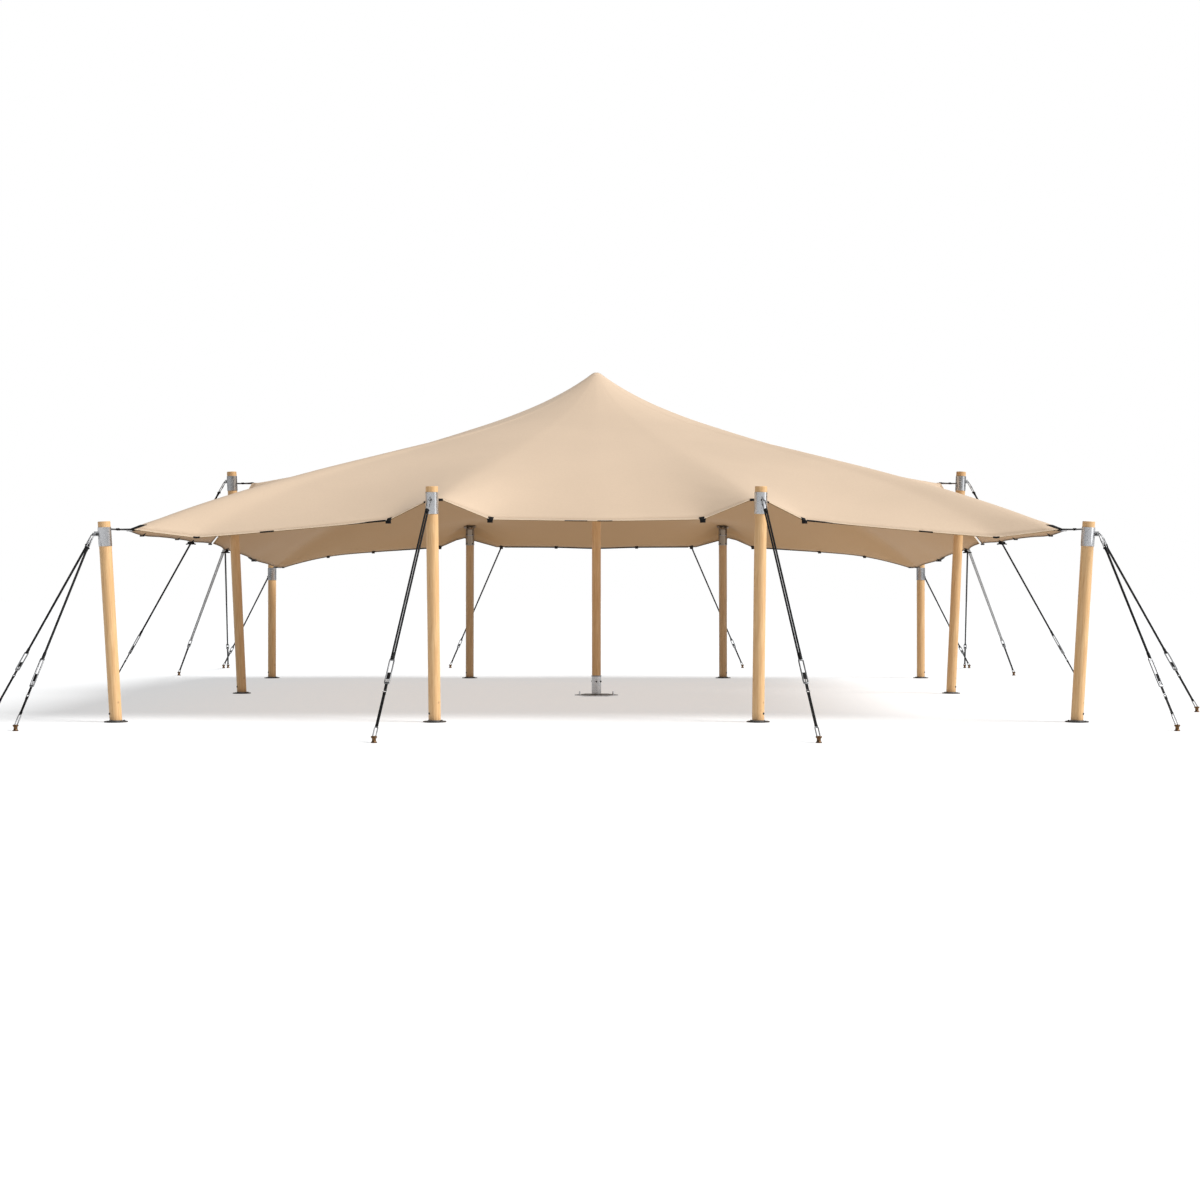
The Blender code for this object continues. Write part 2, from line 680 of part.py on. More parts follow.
def main():
    clear_scene()
    bpy.context.scene.collection.children.link(bpy.data.collections.new(TENT))
    materials = make_materials()
    disc = build_canopy(materials["stretch_fabric"])
    build_centre(materials)
    for side, suffix in ((-1, "_left"), (1, "_right")):
        for pole, (foot, top, _) in POLES.items():
            start, end = pole_line(foot, top, side)
            build_pole("pole_" + pole + suffix, start, end, POLE_RADIUS, materials["honey_timber"])
            build_foot("foot_" + pole + suffix, foot, side, materials["galvanised_steel"])
            build_collar("collar_" + pole + suffix, pole, side, materials["galvanised_steel"])
        start, end = build_disc_cap("cap_back" + suffix, disc, side, materials["dark_steel"])
        build_pole("pole_back" + suffix, start, end, POLE_RADIUS, materials["honey_timber"])
        build_foot("foot_back" + suffix, BACK_POLE_FOOT, side, materials["galvanised_steel"])
        for name in GUYS:
            build_guy(name, side, materials["guy_rope"])


main()
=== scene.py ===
"""Dresses the stretch tent: its sheet of fabric, hem, webbing, timber, steel and guys, and a plain studio.

Metres, +X right, +Y to the back, +Z up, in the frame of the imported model.
"""
import math

import bmesh
import bpy
import numpy as np
from bpy.props import FloatProperty, FloatVectorProperty, PointerProperty
from mathutils import Matrix, Vector
from mathutils.bvhtree import BVHTree


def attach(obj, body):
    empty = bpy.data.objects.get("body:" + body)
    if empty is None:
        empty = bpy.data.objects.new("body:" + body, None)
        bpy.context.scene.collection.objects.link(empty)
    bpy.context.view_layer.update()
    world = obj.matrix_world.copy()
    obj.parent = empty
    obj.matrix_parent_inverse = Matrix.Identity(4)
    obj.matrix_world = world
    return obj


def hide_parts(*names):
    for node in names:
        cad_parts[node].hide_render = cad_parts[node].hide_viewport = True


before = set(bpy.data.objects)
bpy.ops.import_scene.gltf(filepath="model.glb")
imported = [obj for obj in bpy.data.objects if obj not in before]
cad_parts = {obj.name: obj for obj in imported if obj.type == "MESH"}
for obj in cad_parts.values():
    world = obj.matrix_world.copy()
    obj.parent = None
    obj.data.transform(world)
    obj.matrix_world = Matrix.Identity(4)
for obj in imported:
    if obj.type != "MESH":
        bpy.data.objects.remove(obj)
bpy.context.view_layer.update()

bl_info = {
    "name": "Stretch Tent Dressing",
    "version": (1, 0, 0),
    "blender": (4, 5, 0),
    "location": "View3D > Sidebar > Stretch Tent",
    "description": "Dresses a stretch tent in its fabric, timber, steel and rope",
    "category": "Object",
}

UP = Vector((0, 0, 1))
LEVEL = Vector((1, 0, 0))
SIDES = (("_left", -1), ("_right", 1))
SHARP = math.radians(38)  # edges that turn more than this stay sharp

# Shared with the solids: what the guys and the poles are made to
LINK_LENGTH = 0.175
FRAME_LENGTH = 0.340
STAKE_HEIGHT = 0.062
POLE_RADIUS = 0.065
BARE_TOP = 0.062  # timber above a head's sleeve
LUG_LEVEL = 0.35  # share of the sleeve above its lug
SLEEVE_RADIUS = 0.0693
CENTRE_SLEEVE = 0.0645
FOOT_TOP = 0.010
WELD = 0.012
FOOT_BOLT_CIRCLE = 0.098
CROSS_BOLT_LEVEL = 0.085
SOLID_FABRIC = 0.008

# A guy's fittings: width and wire of its links, and the webbing's thickness, single and where it is sewn
HEAD_LINK = (0.044, 0.0055)
SHACKLE = (0.026, 0.0042)
STAKE_LINK = (0.042, 0.006)
RING_WIRE = 0.004
WEBBING = 0.005
SEWN = 0.011
KNOT = 0.018
CORD = 0.008  # radius of the cord in the knots

# How the sheet is worked: the hem's corners, the rings between tip and hem, the smoothing across its
# ridges, the creases that fan out from each fixing, and the fabric over the caps that stays as it is
CORNER_TURN = math.radians(13)
SHORT_STRAIGHT = 0.2
RING_SPACING = 0.02  # as a share of the way from the tip to the hem
TIP_RINGS = 6
SOFTENING = 14
CREASE_START, CREASE_RISE, CREASE_REACH = 0.06, 0.25, 0.55
CREASE_SPREAD, CREASE_FOLDS = 0.75, 19.0  # the fan's width in radians, and how quickly its folds follow
CAP_CLEAR = 0.25
CAP_FADE = 0.35

# The camera's shift, the key light's direction, and the low card's place and aim
FRAMING = (0.0030, -0.0033)
KEY_AIM = (-0.68, 0.20, -0.70)
CARD_PLACE = (15.6, -9, 2.4)
CARD_AIM = (-15.6, 9, -0.8)

# Painted shade: shares of the fabric's red, green and blue that its underside shows, darkening and warming
# the faces turned down
PAINTED_UNDERSIDE_SHADE = (0.60, 0.475, 0.31)
# Each pole that stands outside the fabric: its sleeve's height, the fabric's tip at it and a guy it holds
POLES = {
    "front_corner": (0.200, (4.98, -5.03), "guy_front_corner_forward"),
    "front": (0.230, (1.72, -5.05), "guy_front"),
    "side": (0.200, (4.72, 0.50), "guy_side"),
    "back_corner": (0.200, (5.14, 5.00), "guy_back_corner"),
}
# Painted shade: poles further back under the canopy, whose timber is painted darker than the front ones'
PAINTED_SHADE_TONES = {"back": 0.62, "side": 0.88, "back_corner": 0.88}
# Each guy: whether it hangs from a pole's head, twin or single rope, where its tensioner starts, its rope
GUYS = {
    "guy_front_corner_forward": (True, False, 0.66, "black"),
    "guy_front_corner_side": (True, False, 0.66, "black"),
    "guy_front": (True, True, 0.70, "black"),
    "guy_side": (True, False, 0.74, "black"),
    "guy_side_edge": (False, True, 0.70, "grey"),
    "guy_side_edge_back": (False, False, 0.78, "black"),
    "guy_back_corner": (True, False, 0.78, "black"),
    "guy_back_edge": (False, False, 0.76, "black"),
}

# Webbing tabs on the right half of the hem: place, length along the hem, and how far the end hangs
TABS = (
    ((1.14, -5.00), 0.066, 0.036),
    ((2.23, -5.00), 0.066, 0.036),
    ((5.03, -4.36), 0.055, 0.016),
    ((5.08, -2.47), 0.055, 0.016),
    ((5.12, -1.54), 0.095, 0.034),
    ((5.27, 0.28), 0.055, 0.022),
    ((5.33, 1.62), 0.095, 0.050),
    ((5.30, 3.55), 0.060, 0.026),
    ((4.36, 5.02), 0.055, 0.026),
    ((3.63, 5.05), 0.055, 0.026),
    ((2.56, 5.19), 0.060, 0.032),
    ((1.555, 5.20), 0.060, 0.036),
    ((0.655, 5.06), 0.055, 0.026),
)
KNOTTED = 0.09  # tabs at least this long end in a bow of cord
# Black cord that thickens the right half of the hem: from, to, and its radius at both
CORDS = (
    ((5.03, -5.04), (4.89, -5.01), 0.017, 0.006),
    ((4.33, -4.97), (4.26, -4.97), 0.010, 0.010),
    ((3.62, -4.97), (3.47, -4.97), 0.008, 0.008),
    ((2.86, -4.98), (2.26, -5.00), 0.003, 0.010),
    ((1.85, -5.05), (1.64, -5.05), 0.010, 0.010),
    ((5.33, 1.66), (5.32, 2.30), 0.009, 0.004),
    ((5.31, 3.05), (5.29, 3.70), 0.015, 0.015),
    ((3.95, 5.04), (2.60, 5.18), 0.006, 0.012),
    ((1.50, 5.20), (0.00, 5.04), 0.012, 0.012),
)
# Two more pieces of it near the middle of the front edge, from and to
MIDDLE_CORDS = ((-0.343, -0.097), (0.011, 0.172))
FRONT_EDGE = -4.98
# A stake's head: radius and height, from the ground up and in to its axis
STAKE_PROFILE = ((0, 0), (0.029, 0), (0.029, 0.006), (0.024, 0.010), (0.0195, 0.015), (0.0185, 0.028),
                 (0.0195, 0.040), (0.024, 0.045), (0.029, 0.049), (0.029, 0.059), (0.026, STAKE_HEIGHT),
                 (0.010, STAKE_HEIGHT), (0.008, STAKE_HEIGHT - 0.004), (0, STAKE_HEIGHT - 0.004))
# Each rope's strand colour, and a darker one that is painted shade in the grooves between strands and also
# marks random specks
ROPE_COLOURS = {"black": ((0.011, 0.011, 0.012), (0.003, 0.003, 0.003)),
                "grey": ((0.42, 0.42, 0.42), (0.10, 0.10, 0.10))}


# Settings

def size(name, description, default, low, high):
    return FloatProperty(name=name, description=description, default=default, min=low, max=high,
                         unit="LENGTH", precision=4)


def amount(name, description, default, low, high):
    return FloatProperty(name=name, description=description, default=default, min=low, max=high)


def colour(name, description, default):
    return FloatVectorProperty(name=name, description=description, default=default, size=3, min=0, max=1,
                               subtype="COLOR")


class TENT_PG_fabric(bpy.types.PropertyGroup):
    thickness: size("Thickness", "Thickness of the stretch fabric", 0.003, 0.001, 0.008)
    step: size("Mesh Step", "Longest facet of the sheet along the hem", 0.095, 0.04, 0.5)
    crease: size("Tip Creases", "Depth of the small creases that fan out from each fixing", 0.007, 0, 0.03)
    band: size("Hem Band", "Width of the stitched band along the hem", 0.045, 0.01, 0.1)
    edge: size("Edge Radius", "Radius of the rolled edge", 0.0055, 0.002, 0.01)
    colour: colour("Fabric", "Colour of the stretch fabric", (0.69, 0.53, 0.385))
    # Painted highlight: the rolled edge's colour is lighter than the fabric, standing in for the light along
    # its top
    rim: colour("Rolled Edge", "Colour of the rolled edge of the hem", (0.80, 0.66, 0.50))
    webbing: colour("Webbing", "Colour of the webbing and the edge binding", (0.006, 0.0055, 0.0055))


class TENT_PG_timber(bpy.types.PropertyGroup):
    light: colour("Light Wood", "Colour of the pale grain", (0.84, 0.565, 0.285))
    dark: colour("Dark Wood", "Colour of the dark grain", (0.55, 0.29, 0.11))
    grain: size("Grain Spacing", "Distance between grain lines", 0.012, 0.004, 0.05)


class TENT_PG_steel(bpy.types.PropertyGroup):
    bolt: size("Bolt Size", "Width of a head bolt across its flats", 0.017, 0.008, 0.03)
    bright: colour("Bright Steel", "Colour of the polished sleeves", (0.60, 0.605, 0.62))
    dark: colour("Dark Steel", "Colour of the painted steel", (0.045, 0.043, 0.042))
    aged: colour("Aged Steel", "Colour of the caps under the fabric", (0.27, 0.22, 0.17))
    brass: colour("Stake", "Colour of the stakes' heads", (0.17, 0.095, 0.045))


class TENT_PG_guys(bpy.types.PropertyGroup):
    radius: size("Rope Radius", "Radius of a guy's rope", 0.0088, 0.003, 0.01)
    spacing: size("Twin Spacing", "Half the distance between a twin guy's ropes", 0.0115, 0.008, 0.03)
    frame_width: size("Tensioner Width", "Outer width of a tensioner's frame", 0.057, 0.03, 0.08)
    wire: size("Tensioner Wire", "Radius of a tensioner's side rails", 0.0074, 0.003, 0.01)
    strap: size("Strap Width", "Width of the webbing in a tensioner", 0.028, 0.01, 0.05)


class TENT_PG_stage(bpy.types.PropertyGroup):
    eye_height: size("Eye Height", "Height of the camera above the ground", 1.34, 0.5, 4)
    distance: size("Camera Distance", "Distance from the camera to the centre pole", 24.41, 10, 60)
    lens: amount("Lens", "Focal length in millimetres", 54.3, 20, 120)
    key: amount("Key Light", "Strength of the key light", 4.1, 0, 20)
    card: amount("Card Light", "Power of the low card at the right", 130, 0, 1000)
    fill: amount("Fill Light", "Strength of the surround", 0.15, 0, 10)


class TENT_PG_settings(bpy.types.PropertyGroup):
    fabric: PointerProperty(type=TENT_PG_fabric, name="Fabric", description="Sheet and hem")
    timber: PointerProperty(type=TENT_PG_timber, name="Timber", description="Poles")
    steel: PointerProperty(type=TENT_PG_steel, name="Steel", description="Heads and feet")
    guys: PointerProperty(type=TENT_PG_guys, name="Guys", description="Ropes and tensioners")
    stage: PointerProperty(type=TENT_PG_stage, name="Stage", description="Camera, floor and light")


def settings():
    return bpy.context.scene.stretch_tent


# Shapes, each added to a bmesh

def placed(start, end, side=None):
    """A frame at start whose Z runs to end, and whose X lies as near side as it can."""
    along = (Vector(end) - Vector(start)).normalized()
    hint = Vector(side) if side is not None else (Vector((1, 0, 0)) if abs(along.z) > 0.9 else UP)
    across = (hint - along * hint.dot(along)).normalized()
    turn = Matrix((across, along.cross(across), along)).transposed().to_4x4()
    return Matrix.Translation(Vector(start)) @ turn


def skin(bm, rings, closed=False):
    """Faces between rings with the same number of points, and flat ends unless the rings close."""
    for a, b in zip(rings, rings[1:] + rings[:1] if closed else rings[1:]):
        for k in range(len(a)):
            after = (k + 1) % len(a)
            bm.faces.new((a[k], a[after], b[after], b[k]))
    if not closed:
        bm.faces.new(reversed(rings[0]))
        bm.faces.new(rings[-1])


def add_tube(bm, points, radius, sides=12, closed=False):
    """A round tube along points, with flat ends unless it is closed; one radius, or one for each point."""
    points = [Vector(p) for p in points]
    count = len(points)
    radii = radius if isinstance(radius, list) else [radius] * count
    across = None
    rings = []
    for i, point in enumerate(points):
        before = points[i - 1] if closed or i else point
        after = points[(i + 1) % count] if closed or i < count - 1 else point
        along = (after - before).normalized()
        if across is None:
            across = along.orthogonal().normalized()
        across = (across - along * across.dot(along)).normalized()
        other = along.cross(across)
        turns = [math.tau * k / sides for k in range(sides)]
        rings.append([bm.verts.new(point + (across * math.cos(t) + other * math.sin(t)) * radii[i])
                      for t in turns])
    skin(bm, rings, closed)


def add_knot(bm, centre, size, radius):
    """A small overhand knot of cord."""
    turns = [math.tau * step / 36 for step in range(36)]
    line = [Vector(centre) + Vector((math.sin(t) + 2 * math.sin(2 * t), math.cos(t) - 2 * math.cos(2 * t),
                                     -math.sin(3 * t))) * size / 3 for t in turns]
    add_tube(bm, line, radius, 8, closed=True)


def add_band(bm, matrix, inner, outer, low, high, steps=32):
    """A square-edged ring about the frame's Z."""
    add_turned(bm, matrix, ((inner, low), (outer, low), (outer, high), (inner, high)), steps, ring=True)


def add_box(bm, matrix, width, height, depth, bevel=0.0):
    """A box on a frame, its depth along Z from the frame's origin, with rounded edges."""
    sized = matrix @ Matrix.Translation((0, 0, depth / 2)) @ Matrix.Diagonal((width, height, depth, 1))
    made = bmesh.ops.create_cube(bm, size=1, matrix=sized)
    if bevel:
        # Each edge once, in an order that is the same each run, which a set of them isn't
        edges = list(dict.fromkeys(e for v in made["verts"] for e in v.link_edges))
        bmesh.ops.bevel(bm, geom=edges, offset=bevel, segments=2, profile=0.5, affect="EDGES")


def add_turned(bm, matrix, profile, steps=32, ring=False):
    """A profile of (radius, height) points turned about the frame's Z; a ring joins its ends."""
    turns = [math.tau * k / steps for k in range(steps)]
    rows = []
    for radius, height in profile:
        places = [Vector((radius * math.cos(t), radius * math.sin(t), height)) for t in turns]
        rows.append([bm.verts.new(matrix @ p) for p in (places if radius else places[:1])])
    for low, high in zip(rows, rows[1:] + rows[:1] if ring else rows[1:]):
        for k in range(steps):
            after = (k + 1) % steps
            corners = [low[k % len(low)], low[after % len(low)], high[after % len(high)], high[k % len(high)]]
            bm.faces.new(dict.fromkeys(corners))


def level_turn(degrees):
    """A level direction, turned from +X."""
    return Vector((math.cos(math.radians(degrees)), math.sin(math.radians(degrees)), 0))


def add_pin(bm, matrix, radius, length):
    """A short round pin along the frame's Z."""
    add_turned(bm, matrix, ((0, 0), (radius, 0), (radius, length), (0, length)), 12)


def add_link(bm, start, end, width, wire, side, sides=10):
    """A closed link of wire from start to end over its outside, flat in the plane of side."""
    matrix = placed(start, end, side)
    length = (Vector(end) - Vector(start)).length
    bend = width / 2 - wire
    line = []
    for middle, first in ((width / 2, math.pi), (length - width / 2, 0.0)):
        for step in range(11):
            angle = first + step * math.pi / 10
            line.append(matrix @ Vector((bend * math.cos(angle), 0, middle + bend * math.sin(angle))))
    add_tube(bm, line, wire, sides, closed=True)


def add_bolt(bm, place, out, width, height, washer=0.0024, chamfer=0.0012):
    """A hexagon bolt head on a washer, standing out from a face."""
    matrix = placed(place, Vector(place) + Vector(out))
    rim = width * 0.68
    add_turned(bm, matrix, ((0, 0), (rim, 0), (rim, 0.0018), (rim - 0.0006, washer), (0, washer)), 20)
    corner = width / 2 / math.cos(math.pi / 6)
    top = washer + height
    add_turned(bm, matrix, ((0, washer), (corner, washer), (corner, top - chamfer), (corner * 0.86, top),
                            (0, top)), 6)


def new_object(name, data, place=(0, 0, 0)):
    made = bpy.data.objects.new(name, data)
    made.location = place
    bpy.context.scene.collection.objects.link(made)
    return made


def piece(name, bm, slot, material, *replaced):
    """A named piece of the tent from a bmesh, in one material, riding on the tent's body."""
    bmesh.ops.recalc_face_normals(bm, faces=bm.faces)
    mesh = bpy.data.meshes.new(name)
    bm.to_mesh(mesh)
    bm.free()
    mesh.materials.append(material)
    mesh.shade_smooth()
    mesh.set_sharp_from_angle(angle=SHARP)
    obj = new_object(name, mesh)
    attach(obj, "root")
    if replaced:
        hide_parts(*replaced)
    return obj


# Node groups

def make_group(name, inputs, outputs):
    """A group that reads a place and some numbers, and puts out numbers; with its inner sockets."""
    group = bpy.data.node_groups.new(name, "ShaderNodeTree")
    group.interface.new_socket(name="Vector", in_out="INPUT", socket_type="NodeSocketVector")
    for label, default in inputs.items():
        socket = group.interface.new_socket(name=label, in_out="INPUT", socket_type="NodeSocketFloat")
        socket.default_value = default
    for label in outputs:
        group.interface.new_socket(name=label, in_out="OUTPUT", socket_type="NodeSocketFloat")
    return group, group.nodes.new("NodeGroupInput").outputs, group.nodes.new("NodeGroupOutput").inputs


def feed(tree, inputs, key, value):
    """Sets an input, or links it where the value is another node's socket."""
    if isinstance(value, bpy.types.NodeSocket):
        tree.links.new(value, inputs[key])
    else:
        inputs[key].default_value = value


def node(tree, kind, values=(), **options):
    """A node with some options and inputs."""
    made = tree.nodes.new(kind)
    for key, value in options.items():
        setattr(made, key, value)
    for key, value in dict(values).items():
        feed(tree, made.inputs, key, value)
    return made


def math_node(tree, operation, *values):
    return node(tree, "ShaderNodeMath", enumerate(values), operation=operation).outputs[0]


def ranged(tree, value, low, high, to_low, to_high):
    """A value carried over from one range to another, and held at its ends."""
    return node(tree, "ShaderNodeMapRange", {"Value": value, "From Min": low, "From Max": high,
                                             "To Min": to_low, "To Max": to_high}).outputs["Result"]


def mottle_group():
    """Soft patches and fine specks over a surface, for wear, dust and uneven dye."""
    group, given, out = make_group("Mottle", {"Patch Scale": 2.0, "Speck Scale": 60.0}, ("Patches", "Specks"))
    for label, detail, result in (("Patch Scale", 4.0, "Patches"), ("Speck Scale", 2.0, "Specks")):
        noise = node(group, "ShaderNodeTexNoise",
                     {"Detail": detail, "Vector": given["Vector"], "Scale": given[label]})
        feed(group, out, result, noise.outputs["Fac"])


def weave_group():
    """Two crossed sets of threads; height of the threads, and a mask of the gaps in between."""
    group, given, out = make_group("Weave", {"Thread Spacing": 0.004}, ("Height", "Gaps"))
    axes = node(group, "ShaderNodeSeparateXYZ", {"Vector": given["Vector"]}).outputs
    turn = math_node(group, "DIVIDE", math.tau, given["Thread Spacing"])
    waves = [math_node(group, "ABSOLUTE", math_node(group, "SINE", math_node(group, "MULTIPLY", axis, turn)))
             for axis in axes]
    crossed = math_node(group, "MAXIMUM", math_node(group, "MULTIPLY", waves[0], waves[1]),
                        math_node(group, "MULTIPLY", waves[2], 0.6))
    feed(group, out, "Height", crossed)
    feed(group, out, "Gaps", math_node(group, "SUBTRACT", 1.0, crossed))


def grain_group():
    """Grain of a round pole that stands along Z: long streaks, growth rings and small knots."""
    group, given, out = make_group("Timber Grain", {"Spacing": 0.012}, ("Streaks", "Rings", "Knots"))
    place = given["Vector"]
    scale = math_node(group, "DIVIDE", 1.0, given["Spacing"])
    stretched = node(group, "ShaderNodeVectorMath", {0: place, 1: (1.0, 1.0, 0.035)}, operation="MULTIPLY")
    streaks = node(group, "ShaderNodeTexNoise", {"Detail": 6.0, "Roughness": 0.62, "Distortion": 0.4,
                                                 "Vector": stretched.outputs[0], "Scale": scale})
    feed(group, out, "Streaks", streaks.outputs["Fac"])
    axes = node(group, "ShaderNodeSeparateXYZ", {"Vector": place}).outputs
    squares = [math_node(group, "MULTIPLY", axes[a], axes[a]) for a in ("X", "Y")]
    radius = math_node(group, "SQRT", math_node(group, "ADD", *squares))
    rings = math_node(group, "SINE", math_node(group, "MULTIPLY", radius, 1100.0))
    feed(group, out, "Rings", math_node(group, "MULTIPLY_ADD", rings, 0.5))
    knots = node(group, "ShaderNodeTexVoronoi", {"Scale": 5.5, "Randomness": 1.0, "Vector": place})
    feed(group, out, "Knots", ranged(group, knots.outputs["Distance"], 0.02, 0.10, 1.0, 0.0))


# Materials


def shader_of(name, roughness, metallic=0.0):
    """A new material with its tree and Principled shader."""
    material = bpy.data.materials.new(name)
    material.use_nodes = True
    tree = material.node_tree
    shader = tree.nodes["Principled BSDF"]
    shader.inputs["Roughness"].default_value = roughness
    shader.inputs["Metallic"].default_value = metallic
    return material, tree, shader


def use_group(tree, name, vector, **values):
    """A group placed in a material with its own values; gives its outputs."""
    given = {key.replace("_", " "): value for key, value in values.items()}
    return node(tree, "ShaderNodeGroup", {"Vector": vector, **given},
                node_tree=bpy.data.node_groups[name]).outputs


def mixed(tree, factor, first, second):
    """A colour between two others; each is a colour or a socket."""
    first, second = (c if isinstance(c, bpy.types.NodeSocket) else (*c, 1) for c in (first, second))
    return node(tree, "ShaderNodeMix", {0: factor, 6: first, 7: second}, data_type="RGBA").outputs[2]


def blended(tree, mask, low, high, share, first, second):
    """The first colour, which goes over to a share of the second as the mask rises from low to high."""
    return mixed(tree, ranged(tree, mask, low, high, 0.0, share), first, second)


def finished(tree, shader, colour, roughness, height, strength, distance, **constants):
    """Gives a shader its colour, roughness and bump, and sets its other sockets."""
    feed(tree, shader.inputs, "Base Color", colour)
    feed(tree, shader.inputs, "Roughness", roughness)
    raised = node(tree, "ShaderNodeBump", {"Strength": strength, "Distance": distance, "Height": height})
    feed(tree, shader.inputs, "Normal", raised.outputs["Normal"])
    for label, value in constants.items():
        shader.inputs[label.replace("_", " ")].default_value = value


def place_socket(tree):
    return tree.nodes.new("ShaderNodeTexCoord").outputs["Object"]


def shade(base, factor):
    return tuple(min(c * factor, 1.0) for c in base)


def fabric_material(name, base):
    """Matte stretch knit, with faint uneven dye, a fine weave with painted shade in its gaps, and painted
    shade that darkens and warms it where it faces down.
    """
    material, tree, shader = shader_of(name, 0.82)
    where = place_socket(tree)
    mottle = use_group(tree, "Mottle", where, Patch_Scale=0.55, Speck_Scale=38.0)
    weave = use_group(tree, "Weave", where, Thread_Spacing=0.0045)
    dyed = blended(tree, mottle["Patches"], 0.35, 0.65, 1.0, shade(base, 0.965), shade(base, 1.03))
    specked = blended(tree, mottle["Specks"], 0.35, 0.7, 0.10, dyed, shade(base, 0.80))
    # Painted shade: the gaps between threads are darkened
    threads = blended(tree, weave["Gaps"], 0.4, 1.0, 0.16, specked, shade(base, 0.70))
    # Painted shade: faces turned down take the darker, warmer underside colour
    normal = node(tree, "ShaderNodeNewGeometry").outputs["Normal"]
    facing = node(tree, "ShaderNodeSeparateXYZ", {"Vector": normal}).outputs["Z"]
    underside_shade = tuple(c * f for c, f in zip(base, PAINTED_UNDERSIDE_SHADE))
    finished(tree, shader, blended(tree, facing, -0.05, -0.25, 1.0, threads, underside_shade),
             ranged(tree, mottle["Specks"], 0.3, 0.7, 0.76, 0.88), weave["Height"], 0.18, 0.0006,
             Sheen_Weight=0.12, Sheen_Roughness=0.5, Specular_IOR_Level=0.25)
    return material


def webbing_material(name, base):
    """Woven webbing or braided cord with a ribbed surface, and painted shade in the gaps between its ribs."""
    material, tree, shader = shader_of(name, 0.7)
    where = place_socket(tree)
    weave = use_group(tree, "Weave", where, Thread_Spacing=0.0032)
    mottle = use_group(tree, "Mottle", where, Patch_Scale=9.0, Speck_Scale=240.0)
    worn = blended(tree, mottle["Patches"], 0.45, 0.75, 0.5, base, shade(base, 1.8))
    # Painted shade: the gaps between the ribs are darkened
    ribbed = blended(tree, weave["Gaps"], 0.4, 1.0, 0.6, worn, shade(base, 0.45))
    finished(tree, shader, ribbed, ranged(tree, mottle["Specks"], 0.3, 0.7, 0.55, 0.85), weave["Height"],
             0.6, 0.0008, Specular_IOR_Level=0.2)
    return material


def rope_material(name, light, dark, along):
    """Braided rope: strands that cross it at an even spacing along its run, with painted shade in the grooves
    between them.
    """
    material, tree, shader = shader_of(name, 0.72)
    where = place_socket(tree)
    run = node(tree, "ShaderNodeVectorMath", {0: where, 1: along}, operation="DOT_PRODUCT").outputs["Value"]
    wave = math_node(tree, "SINE", math_node(tree, "MULTIPLY", run, math.tau / 0.016))
    mottle = use_group(tree, "Mottle", where, Patch_Scale=14.0, Speck_Scale=300.0)
    strands = math_node(tree, "MULTIPLY_ADD", wave, 0.5)
    # Painted shade: the grooves between strands take the dark colour, broken up by random specks
    mask = math_node(tree, "MULTIPLY", ranged(tree, strands, -0.5, 0.5, 0.0, 1.0), mottle["Specks"])
    finished(tree, shader, blended(tree, mask, 0.1, 0.6, 1.0, dark, light),
             ranged(tree, mottle["Specks"], 0.3, 0.7, 0.6, 0.85), strands, 0.5, 0.0015,
             Specular_IOR_Level=0.2)
    return material


def timber_material(name, start, end, painted_shade_factor):
    """Oiled round timber whose grain runs from start to end, darkened by a factor as painted shade."""
    chosen = settings().timber
    material, tree, shader = shader_of(name, 0.45)
    turn = placed(start, end).inverted()
    where = node(tree, "ShaderNodeMapping", {"Vector": place_socket(tree), "Location": turn.to_translation(),
                                             "Rotation": turn.to_euler()}).outputs["Vector"]
    grain = use_group(tree, "Timber Grain", where, Spacing=chosen.grain)
    mottle = use_group(tree, "Mottle", where, Patch_Scale=1.6, Speck_Scale=90.0)
    light, dark = shade(chosen.light, painted_shade_factor), shade(chosen.dark, painted_shade_factor)
    streaked = blended(tree, grain["Streaks"], 0.38, 0.66, 0.75, light, dark)
    varied = blended(tree, mottle["Patches"], 0.4, 0.7, 0.35, streaked, shade(dark, 1.25))
    ringed = blended(tree, grain["Rings"], 0.0, 0.5, 0.18, varied, dark)
    knotted = mixed(tree, math_node(tree, "MULTIPLY", grain["Knots"], 0.55), ringed, shade(dark, 0.45))
    finished(tree, shader, knotted, ranged(tree, grain["Streaks"], 0.3, 0.7, 0.38, 0.6), grain["Streaks"],
             0.35, 0.0015, Coat_Weight=0.15, Coat_Roughness=0.35)
    return material


def metal_material(name, base, roughness, metallic, brushed):
    """Metal with fine brushing, cloudy patches and small scuffs."""
    material, tree, shader = shader_of(name, roughness, metallic)
    where = place_socket(tree)
    mottle = use_group(tree, "Mottle", where, Patch_Scale=11.0, Speck_Scale=420.0)
    cloudy = blended(tree, mottle["Patches"], 0.35, 0.7, 1.0, shade(base, 0.94), shade(base, 1.04))
    scuffed = blended(tree, mottle["Specks"], 0.62, 0.75, 0.15, cloudy, shade(base, 1.2))
    lines = node(tree, "ShaderNodeVectorMath", {0: where, 1: (4.0, 4.0, 260.0)}, operation="MULTIPLY")
    fine = node(tree, "ShaderNodeTexNoise", {"Scale": 1.0, "Detail": 2.0, "Vector": lines.outputs[0]})
    rough = ranged(tree, mottle["Patches"], 0.3, 0.7, roughness * 0.92, roughness * 1.1)
    finished(tree, shader, scuffed, rough, fine.outputs["Fac"], brushed, 0.0004)
    return material


